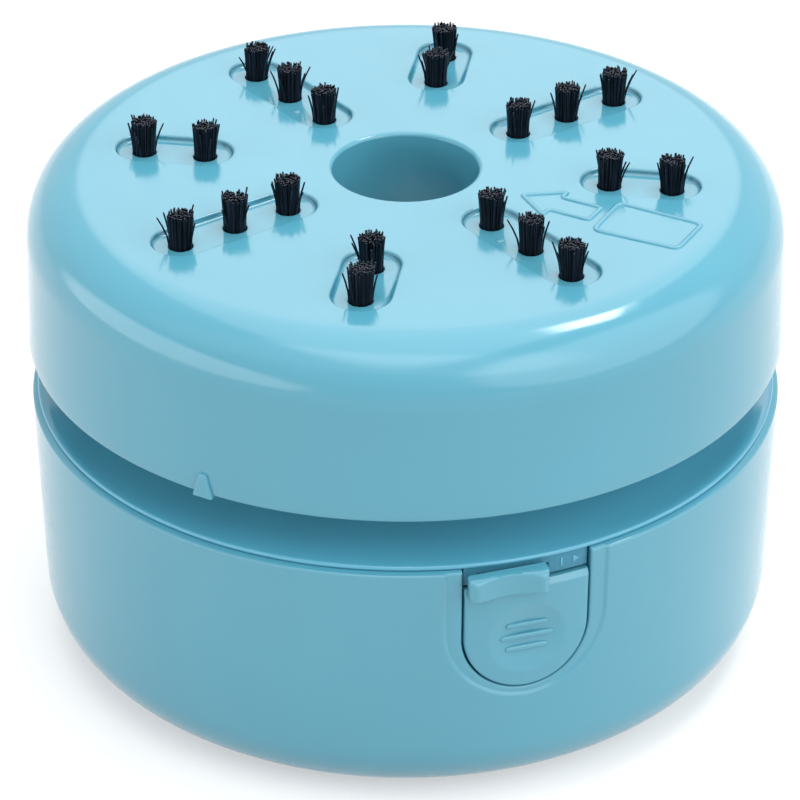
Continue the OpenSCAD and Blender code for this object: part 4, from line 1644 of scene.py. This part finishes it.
        outer, inner = self.border(0.0), self.border(depth)
        guard, floor = (loop(self.pocket, grow, inset) for grow, inset in ((0.5, 0.0), (-0.4, step)))
        sill = loop(self.window, 0.55, step)
        edge = ((0.3, 0), (0.22, 0.01), (0.12, 0.05), (0, 0.125), (-0.1, 0.2), (-0.18, 0.24), (-0.25, step))
        lip = ((0.28, 0.0), (0.16, 0.03), (0.05, 0.12), (0.0, 0.28), (0.0, 0.6), (0.0, depth - step))
        loops = [outer, *(between(outer, guard, t, 0.0) for t in (0.35, 0.7)), guard]
        loops += [loop(self.pocket, grow, inset) for grow, inset in edge]
        loops += [floor, between(floor, sill, 0.5, step), sill]
        loops += [loop(self.window, grow, step + inset) for grow, inset in lip]
        loops += [*(between(loops[-1], inner, t, depth) for t in (0.1, 0.5)), inner]
        draft.grid(loops)
        for end in (0, -1):
            draft.fill([[row[end] for row in loops]])


@dataclass
class PushButton(Moulding):
    """The button that frees the brush side: a U-shaped face with a finger dish.

    Attributes:
        rounding: Radius of the edge round its sides.
        bevel: Height and depth of the slant at its top.
        soft: How softly the slant starts.
        dish_soft: How softly the dish starts.
        ease: Inset and drop of the successive outlines of the face.
        dish_shares: Radii of the rings in the dish, as shares of its own.
        pin: Height of the pin inside the spring.
        flange: Radii of the front and the back of the flange behind the window.
        tail_half: Half the angle of the tail, in degrees.
        tail: Inner and outer radius of the tail.
        nose: Inner and outer radius of the hook on it.
    """

    shell: TopShell
    half: float = 7.0
    centre: float = 22.6
    top: float = 28.9
    sunk: float = 0.1
    rounding: float = 0.3
    bevel: Flat = (0.72, 0.62)
    soft: float = 0.12
    ease: tuple[Flat, ...] = (
        *((0.0, 0.0), (0.02, 0.05), (0.06, 0.13), (0.12, 0.24), (0.2, 0.38)),
        *((0.29, 0.54), (0.37, 0.66), (0.45, 0.74), (0.6, 0.9)),
    )
    side_depths: Point = (2.7, 1.7, 0.78)
    dish_centre: float = 21.9
    dish_radius: float = 4.4
    dish_depth: float = 0.8
    dish_soft: float = 0.05
    dish_shares: tuple[float, ...] = (1.0, 0.96, 0.91, 0.85, 0.77, 0.68, 0.57, 0.45, 0.32, 0.18, 0.08)
    grip_pitch: float = 1.5
    grip_halves: Point = (2.1, 2.7, 2.1)
    pin: float = 22.3
    pin_steps: tuple[Flat, ...] = ((0.9, -39.6), (0.9, -35.0), (0.72, -34.75))
    flange: Flat = (40.2, 39.2)
    flange_grow: float = 1.4
    flange_top: float = 27.4
    tail_half: float = 6.6601
    tail: Flat = (38.2, 39.4)
    tail_span: Flat = (11.1, 17.0)
    nose: Flat = (38.9, 40.1)
    nose_span: Flat = (11.1, 12.3)
    body = Body.BUTTON

    def build(self) -> list[Piece]:
        """Builds the face, the bars in the dish and the parts behind the wall.

        Returns:
            The finished pieces.
        """
        return [
            self.seat(self.face(), "button_face", "push_button"),
            self.seat(self.grip_bars(), "grip_bars"),
            self.seat(self.latch(), "button_latch"),
        ]

    def outline(self, half: float, top: float, steps: Sequence[int]) -> list[Flat]:
        """The closed outline of a U; steps are the intervals of a side, of its bottom and of its top."""
        return u_path(half, self.centre, top, *steps[:2]) + line((half, top), (-half, top), steps[2])[1:-1]

    def face_outline(self, inset: float, drop: float) -> list[Flat]:
        """Outline of the face, narrower by an inset and lower at its top."""
        return self.outline(self.half - inset, self.top - drop, (14, 48, 28))

    def sink(self, x: float, z: float) -> float:
        """How far the rounded sides and the slanted top lie behind the face.

        Args:
            x: Place across the face.
            z: Its height.

        Returns:
            The depth there.
        """
        low = self.centre - z
        side = self.half - (math.hypot(x, low) if low > 0 else abs(x))
        share = max(0.0, 1 - max(side, 0.0) / self.rounding)
        bent = self.rounding * (1 - math.sqrt(max(0.0, 1 - share * share)))
        slant = max(0.0, 1 - (self.top - z) / self.bevel[0]) * self.bevel[1]
        return max(bent, math.hypot(slant, self.soft) - self.soft)

    def dish(self, x: float, z: float) -> float:
        """Depth of the finger dish."""
        share = max(0.0, 1 - (x**2 + (z - self.dish_centre) ** 2) / self.dish_radius**2)
        return self.dish_depth * (math.hypot(share, self.dish_soft) - self.dish_soft)

    def at(self, x: float, z: float, lift: float = 0.0) -> Point:
        """The point of the face in front of (x, z)."""
        return self.shell.on_wall(x, z, self.sunk + self.sink(x, z) + self.dish(x, z) - lift)

    def dish_ring(self, radius: float) -> list[Flat]:
        """A ring round the dish, with as many points as the outline, in the same order."""
        turns = ((150, 180, 14), (180, 360, 48), (360, 390, 14), (390, 510, 28))
        return [p for turn in turns for p in arc((0.0, self.dish_centre), (radius, radius), *turn)[:-1]]

    def face(self) -> MeshDraft:
        """Makes the face and its sides.

        Returns:
            The mesh.
        """
        draft = MeshDraft()
        flat = [self.face_outline(*inset) for inset in self.ease]
        rows = [[self.shell.on_wall(x, z, depth) for x, z in flat[0]] for depth in self.side_depths]
        start, goal = flat[-1], self.dish_ring(self.dish_radius + 0.35)
        for t in (0.3, 0.6, 0.85, 1.0):
            flat.append([(lerp(p[0], q[0], t), lerp(p[1], q[1], t)) for p, q in zip(start, goal)])
        flat += [self.dish_ring(self.dish_radius * share) for share in self.dish_shares]
        rows += [[self.at(x, z) for x, z in ring] for ring in flat]
        draft.domed(rows, self.at(0.0, self.dish_centre))
        return draft

    def grip_bars(self) -> MeshDraft:
        """Makes the three raised bars in the dish.

        Returns:
            The mesh.
        """
        draft = MeshDraft()
        for i, half in enumerate(self.grip_halves):
            z = self.dish_centre + self.grip_pitch * (i - 1)
            outline = stadium(-half, half, 0.3, 0.0, 8)
            rows = []
            for inset, lift in ((0.0, -0.15), (0.0, 0.06), (0.03, 0.12), (0.09, 0.17), (0.18, 0.2)):
                rows.append([self.at(x, z + up, lift) for x, up in shrunk(outline, inset)])
            draft.closed(rows)
        return draft

    def latch(self) -> MeshDraft:
        """Makes the flange behind the window, the tail with its hook, and the pin inside the spring.

        Returns:
            The mesh.
        """
        draft = MeshDraft()
        outline = self.outline(self.half + self.flange_grow, self.flange_top, (6, 40, 20))
        shares = (0.25, 0.6, 1.0)
        front, back = self.flange
        rows = []
        for share, radius in [(s, front) for s in shares] + [(s, back) for s in reversed(shares)]:
            rows.append([on_drum(radius, x * share, lerp(self.centre, z, share)) for x, z in outline])
        draft.closed(rows)
        ends = (-90 - self.tail_half, -90 + self.tail_half)
        draft.sector(self.tail, ends, self.tail_span)
        draft.sector(self.nose, ends, self.nose_span)
        draft.closed([[(x, y, self.pin + z) for x, z in circle(radius, 24)] for radius, y in self.pin_steps])
        return draft


@dataclass
class SlideKnob(Moulding):
    """The thumb slide of the power switch.

    Attributes:
        middle: Its middle along X, at rest.
        scoop: Depth of its hollow front at the lip and at the top.
        lean: How much its front turns towards one side.
        soft: How softly the hollow meets the upright back.
        ease: Distances from an end where its sections lie.
        brow: Section of the rounded upper edge of its front, as (y, z).
        chin: Section of the lower one.
    """

    middle: float = -2.5
    half: float = 4.45
    back: float = -42.6
    front: float = -44.2
    top: float = 31.2
    foot: float = 29.05
    lip: float = 28.3
    lip_back: float = -43.15
    crown: float = -43.0
    face_span: Flat = (29.9, 28.75)
    corner: float = 1.0
    low_corner: float = 0.75
    scoop: Flat = (0.92, 0.68)
    lean: float = 0.053
    edge: float = 0.28
    soft: float = 0.08
    ease: tuple[float, ...] = (0.0, 0.02, 0.06, 0.12, 0.2, 0.28, 0.4, 0.55, 0.75, 1.0, 1.25)
    brow: tuple[Flat, ...] = (
        *((-43.3, 31.04), (-43.55, 30.94), (-43.8, 30.8)),
        *((-43.98, 30.64), (-44.11, 30.44), (-44.18, 30.2)),
    )
    chin: tuple[Flat, ...] = ((-44.16, 28.52), (-44.02, 28.38), (-43.8, 28.3), (-43.45, 28.3))
    stem: tuple[Point, Point] = ((-5.3, -42.9, 29.3), (-2.3, -37.0, 30.5))
    body = Body.KNOB

    def build(self) -> list[Piece]:
        """Builds the knob and its stem.

        Returns:
            The finished pieces.
        """
        stem = MeshDraft()
        stem.block(*self.stem)
        return [self.seat(self.knob(), "knob", "slide_knob"), self.seat(stem, "knob_stem", bevel=0.15)]

    def front_at(self, x: float, z: float) -> float:
        """Where the front lies: round corners, and a hollow middle that is deeper at the lip.

        Args:
            x: Place along the knob, from its middle.
            z: Its height.

        Returns:
            The front's Y.
        """
        side = self.half - abs(x)
        if side < self.corner:
            return self.front + self.corner - math.sqrt(self.corner**2 - (self.corner - side) ** 2)
        hollow = max(0.0, 1 - (x / (self.half - self.corner + 0.2)) ** 2)
        return self.front + lerp(*self.scoop, (z - self.lip) / (self.top - self.lip)) * hollow

    def profile(self) -> list[Flat]:
        """Section across the knob.

        Returns:
            Points as (y, z), counter-clockwise when seen from +X.
        """
        return [
            *line((self.lip_back, self.lip), (self.lip_back, self.foot), 3),
            *line((self.lip_back, self.foot), (self.back, self.foot), 5)[1:],
            *line((self.back, self.foot), (self.back, self.top), 4)[1:],
            *line((self.back, self.top), (self.crown, self.top - 0.08), 3)[1:],
            *self.brow,
            *line((self.front, self.face_span[0]), (self.front, self.face_span[1]), 4),
            *self.chin,
        ]

    def section(self, x: float) -> list[Point]:
        """The knob's ring of points at a place along it.

        Args:
            x: That place, from its middle.

        Returns:
            The ring.
        """
        side = self.half - abs(x)
        pull = self.edge - math.sqrt(max(0.0, self.edge**2 - (self.edge - min(side, self.edge)) ** 2))
        lift = max(0.0, self.low_corner - side)
        low = self.lip + self.low_corner - math.sqrt(self.low_corner**2 - lift**2)
        ring = []
        for y, z in shrunk(self.profile(), pull) if pull > 1e-6 else self.profile():
            z = max(z, low)
            gap = y - self.front_at(x, z)
            if gap < 0.4:
                y += (math.hypot(gap, self.soft) - gap) / 2
            y -= self.lean * x * (self.back - y) / (self.back - self.front)
            ring.append((self.middle + x, y, z))
        return ring

    def knob(self) -> MeshDraft:
        """Makes the knob.

        Returns:
            The mesh.
        """
        draft = MeshDraft()
        reach = self.half - 1.6
        xs = [step - self.half for step in self.ease] + [lerp(-reach, reach, i / 18) for i in range(19)]
        rows = [self.section(x) for x in (*xs, *(self.half - step for step in reversed(self.ease)))]
        draft.grid(rows, wrap=True)
        for end in (0, -1):
            draft.fill([rows[end]])
        return draft


# ---- Inner works ----


SLOT_NODES: dict[str, tuple[str, ...]] = {
    "white_abs": ("filter_frame", "fan_cover", "impeller", "battery_holder"),
    "seal_rubber": ("base_seal",),
    "filter_felt": ("filter_pad",),
    "motor_steel": ("motor_can", "switch_body"),
    "shaft_steel": ("motor_shaft",),
    "core_steel": ("armature",),
    "magnet_ferrite": ("motor_magnets",),
    "black_nylon": ("motor_end_cap", "switch_slider"),
    "bronze": ("commutator", "front_bush", "rear_bush", "motor_brushes"),
    "contact_nickel": (
        "link_plate",
        "positive_contact",
        "negative_contact",
        "cell_spring_left",
        "cell_spring_right",
        "button_spring",
    ),
    "screw_zinc": ("cover_screws", "holder_screws"),
    "cell_jacket": ("cell_left", "cell_right"),
}


@dataclass(frozen=True)
class InnerWorks:
    """The parts inside. They keep the meshes of their frame nodes and take the finishes of a palette.

    Attributes:
        nodes: The frame's nodes by name.
        palette: The material of each slot.
    """

    nodes: dict[str, Piece]
    palette: dict[str, Material]

    def build(self) -> list[Piece]:
        """Puts the material of each slot on its nodes.

        Returns:
            The nodes.
        """
        dressed = []
        for slot, names in SLOT_NODES.items():
            for node in (self.nodes[name] for name in names):
                node.data.materials.clear()
                node.data.materials.append(self.palette[slot])
                node.data.shade_smooth()
                node.data.set_sharp_from_angle(angle=math.radians(SHARP_INSIDE))
                dressed.append(node)
        return dressed


# ---- Stage ----


def direction(azimuth: float, elevation: float) -> Vector:
    """The unit vector towards an azimuth and an elevation in degrees."""
    return Vector(around(math.cos(math.radians(elevation)), azimuth, math.sin(math.radians(elevation))))


def aim(name: str, data: bpy.types.ID, at: Vector, target: Point) -> Piece:
    """Adds a lamp or the camera.

    Args:
        name: Its name.
        data: The lamp's or the camera's data.
        at: Where it stands, in millimetres.
        target: What it faces, in millimetres.

    Returns:
        The linked object.
    """
    made = bpy.data.objects.new(name, data)
    made.location = at * MM
    made.rotation_mode = "QUATERNION"
    made.rotation_quaternion = (Vector(target) * MM - made.location).to_track_quat("-Z", "Y")
    bpy.context.scene.collection.objects.link(made)
    return made


@dataclass(frozen=True)
class Softbox:
    """A flat lamp that faces the object.

    Attributes:
        name: Name of the lamp.
        azimuth: Its direction from the object, in degrees from +X.
        elevation: Its height over the horizon, in degrees.
        distance: Its distance, in millimetres.
        size: Its width and height, in millimetres.
        radiance: Its brightness, where 1 is white.
    """

    name: str
    azimuth: float
    elevation: float
    distance: float
    size: Flat
    radiance: float

    def build(self, target: Point) -> None:
        """Adds the lamp.

        Args:
            target: What it faces, in millimetres.
        """
        light = bpy.data.lights.new(self.name, "AREA")
        light.shape = "RECTANGLE"
        light.size, light.size_y = (length * MM for length in self.size)
        light.energy = self.radiance * math.pi * light.size * light.size_y
        away = direction(self.azimuth, self.elevation) * self.distance
        aim(self.name, light, Vector(target) + away, target)


@dataclass(frozen=True)
class SkyPanel:
    """A bright patch of the sky with a soft edge.

    Attributes:
        azimuth: Direction of its middle, in degrees from +X.
        elevation: Height of its middle over the horizon, in degrees.
        reach: Half its height and half its width, in degrees.
        radiance: Its brightness, where 1 is white.
        fade: Where its edge starts and ends, as shares of its reach, squared.
    """

    azimuth: float
    elevation: float
    reach: Flat
    radiance: float
    fade: Flat = (0.7, 1.3)

    def add(self, g: Graph, before: Socket | float) -> Socket:
        """Adds the panel's brightness to that of the sky before it.

        Args:
            g: The world's nodes.
            before: Brightness of the rest of the sky.

        Returns:
            The sum of both.
        """
        middle, across = direction(self.azimuth, self.elevation), direction(self.azimuth + 90, 0.0)
        high, wide = (1 / math.sin(math.radians(angle)) for angle in self.reach)
        front, up, side = (
            g.node("VectorMath", g.coordinates("Generated"), axis, operation="DOT_PRODUCT").outputs["Value"]
            for axis in (middle, middle.cross(across) * high, across * wide)
        )
        away = g.math("MULTIPLY_ADD", up, up, g.math("MULTIPLY", side, side))
        patch = g.node("MapRange", away, *self.fade, self.radiance, 0.0, interpolation_type="SMOOTHSTEP")
        in_front = g.math("GREATER_THAN", front, 0.0)
        return g.math("MULTIPLY_ADD", patch.outputs["Result"], in_front, before)


@dataclass(frozen=True)
class Studio:
    """White sweep, soft sky light, the lamps and the camera.

    Attributes:
        floor_glow: Brightness that the floor has for the camera only.
    """

    camera_at: Point = (-106.22, -328.86, 235.24)
    target: Point = (0.0, 0.0, 30.0)
    lens: float = 156.0
    sensor: float = 36.0
    shift: Flat = (-0.0069, -0.0264)
    clip: Flat = (0.01, 10.0)
    sky: float = 0.1
    floor_half: float = 1500.0
    floor_level: float = -0.02
    floor_albedo: float = 0.55
    floor_glow: float = 0.46
    lamps: tuple[Softbox, ...] = (Softbox("side_lamp", 9.0, 63.0, 600.0, (155.0, 110.0), 13.0),)
    panels: tuple[SkyPanel, ...] = (
        SkyPanel(68.0, 70.0, (56.0, 25.0), 2.1),
        SkyPanel(-128.0, 58.0, (20.0, 60.0), 1.15),
        SkyPanel(180.0, 6.0, (16.0, 46.0), 2.7),
        SkyPanel(-44.0, 25.0, (31.0, 42.0), 2.1),
    )

    def build(self) -> None:
        """Builds everything round the object."""
        self.add_floor()
        self.add_sky()
        for lamp in self.lamps:
            lamp.build(self.target)
        self.add_camera()
        bpy.context.scene.view_settings.view_transform = "Standard"

    def add_floor(self) -> None:
        """Adds the floor. The camera sees it white, with the object's shadow."""
        draft, half = MeshDraft(), self.floor_half
        draft.grid([[(x, y, self.floor_level) for x in (-half, half)] for y in (-half, half)])
        floor = draft.build("floor")
        g = Paint("floor_paper")
        low, high = ((self.floor_albedo + step,) * 3 for step in (-0.01, 0.01))
        glow = g.node("MapRange", g.seen_directly(), 0.0, 1.0, 0.0, self.floor_glow)
        paper = g.done(
            Base_Color=g.tones(g.noise(30.0, 2.0), low, high),
            Roughness=0.8,
            Specular_IOR_Level=0.0,
            Emission_Color=WHITE,
            Emission_Strength=glow.outputs["Result"],
        )
        floor.data.materials.append(paper)

    def add_sky(self) -> None:
        """Adds a sky that looks white, also in reflections, and lights softly."""
        world = bpy.data.worlds.new("sky")
        world.use_nodes = True
        g = Graph(world.node_tree)
        light: Socket | float = self.sky
        for panel in self.panels:
            light = panel.add(g, light)
        back = g.node("Background", WHITE, g.math("MAXIMUM", light, g.seen_directly()))
        g.node("OutputWorld", back.outputs["Background"])
        bpy.context.scene.world = world

    def add_camera(self) -> None:
        """Adds the camera where the photographer's stood."""
        lens = bpy.data.cameras.new("camera")
        lens.lens, lens.sensor_width = self.lens, self.sensor
        lens.shift_x, lens.shift_y = self.shift
        lens.clip_start, lens.clip_end = self.clip
        bpy.context.scene.camera = aim("camera", lens, Vector(self.camera_at), self.target)


# ---- Assembly ----


def make_palette() -> dict[str, Material]:
    """Builds the material of every slot, and those of the frame and its panel: copies of the aqua painted
    lighter and darker, as painted light in the gap and painted shade on the panel.

    Returns:
        The materials by name.
    """
    finishes = {
        "shell_aqua": GlossyPlastic("aqua_plastic", (0.080, 0.323, 0.434)),
        # A lighter, bluer copy of the shell's aqua: painted light on the flange and neck in the shaded gap
        # under the skirt.
        "frame_aqua_lit": GlossyPlastic("frame_plastic_lit", (0.086, 0.368, 0.52)),
        # A darker, less glossy copy of the aqua for the panel beside the knob: painted shade under the
        # flange's rim.
        "panel_aqua_shaded": GlossyPlastic("panel_plastic_shaded", (0.055, 0.24, 0.35), (0.2, 0.3), specular=0.25),
        "white_abs": SatinPlastic("white_abs", (0.78, 0.79, 0.77)),
        "seal_rubber": Rubber("seal_rubber", (0.022, 0.024, 0.026)),
        "filter_felt": Felt("filter_felt", (0.80, 0.80, 0.76)),
        "motor_steel": Metal("motor_steel", (0.60, 0.61, 0.62)),
        "shaft_steel": Metal("shaft_steel", (0.68, 0.68, 0.69), (0.10, 0.2)),
        "core_steel": Metal("core_steel", (0.30, 0.30, 0.31), (0.35, 0.5), (0.05, 0.05, 1.0)),
        "magnet_ferrite": SatinPlastic("magnet_ferrite", (0.030, 0.030, 0.033), (0.6, 0.8), 0.012),
        "black_nylon": SatinPlastic("black_nylon", (0.018, 0.018, 0.020)),
        "bronze": Metal("bronze", (0.66, 0.42, 0.20)),
        "contact_nickel": Metal("contact_nickel", (0.66, 0.64, 0.60), (0.2, 0.32)),
        "screw_zinc": Metal("screw_zinc", (0.62, 0.64, 0.66), (0.25, 0.4), (0.4, 0.4, 0.4)),
        "cell_jacket": CellJacket("cell_jacket", (0.035, 0.036, 0.040), (0.62, 0.36, 0.10)),
        "bristle_black": NylonFilament("bristle_black", (0.002, 0.003, 0.006), (0.010, 0.016, 0.032)),
    }
    return {slot: finish.material() for slot, finish in finishes.items()}


def main() -> None:
    """Builds the vacuum cleaner over its frame and reports each piece, then builds its stage."""
    logging.basicConfig(level=logging.INFO, format="%(name)s: %(message)s")
    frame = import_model()
    palette = make_palette()
    aqua = palette["shell_aqua"]
    levels, layout = Levels(), BrushLayout()
    shell = TopShell(aqua, levels)
    assemblies = (
        BrushCover(aqua, levels, layout),
        Tufts(palette["bristle_black"], levels, layout),
        # The frame takes the lighter aqua as painted light in the gap, and its panel the darker one as
        # painted shade.
        MidFrame(palette["frame_aqua_lit"], levels, palette["panel_aqua_shaded"]),
        shell,
        PushButton(aqua, shell),
        SlideKnob(aqua),
        InnerWorks(frame["nodes"], palette),
    )
    for assembly in assemblies:
        for piece in assembly.build():
            log.info("%s: %d faces", piece.name, len(piece.data.polygons))
    Studio().build()


if __name__ == "__main__":
    main()
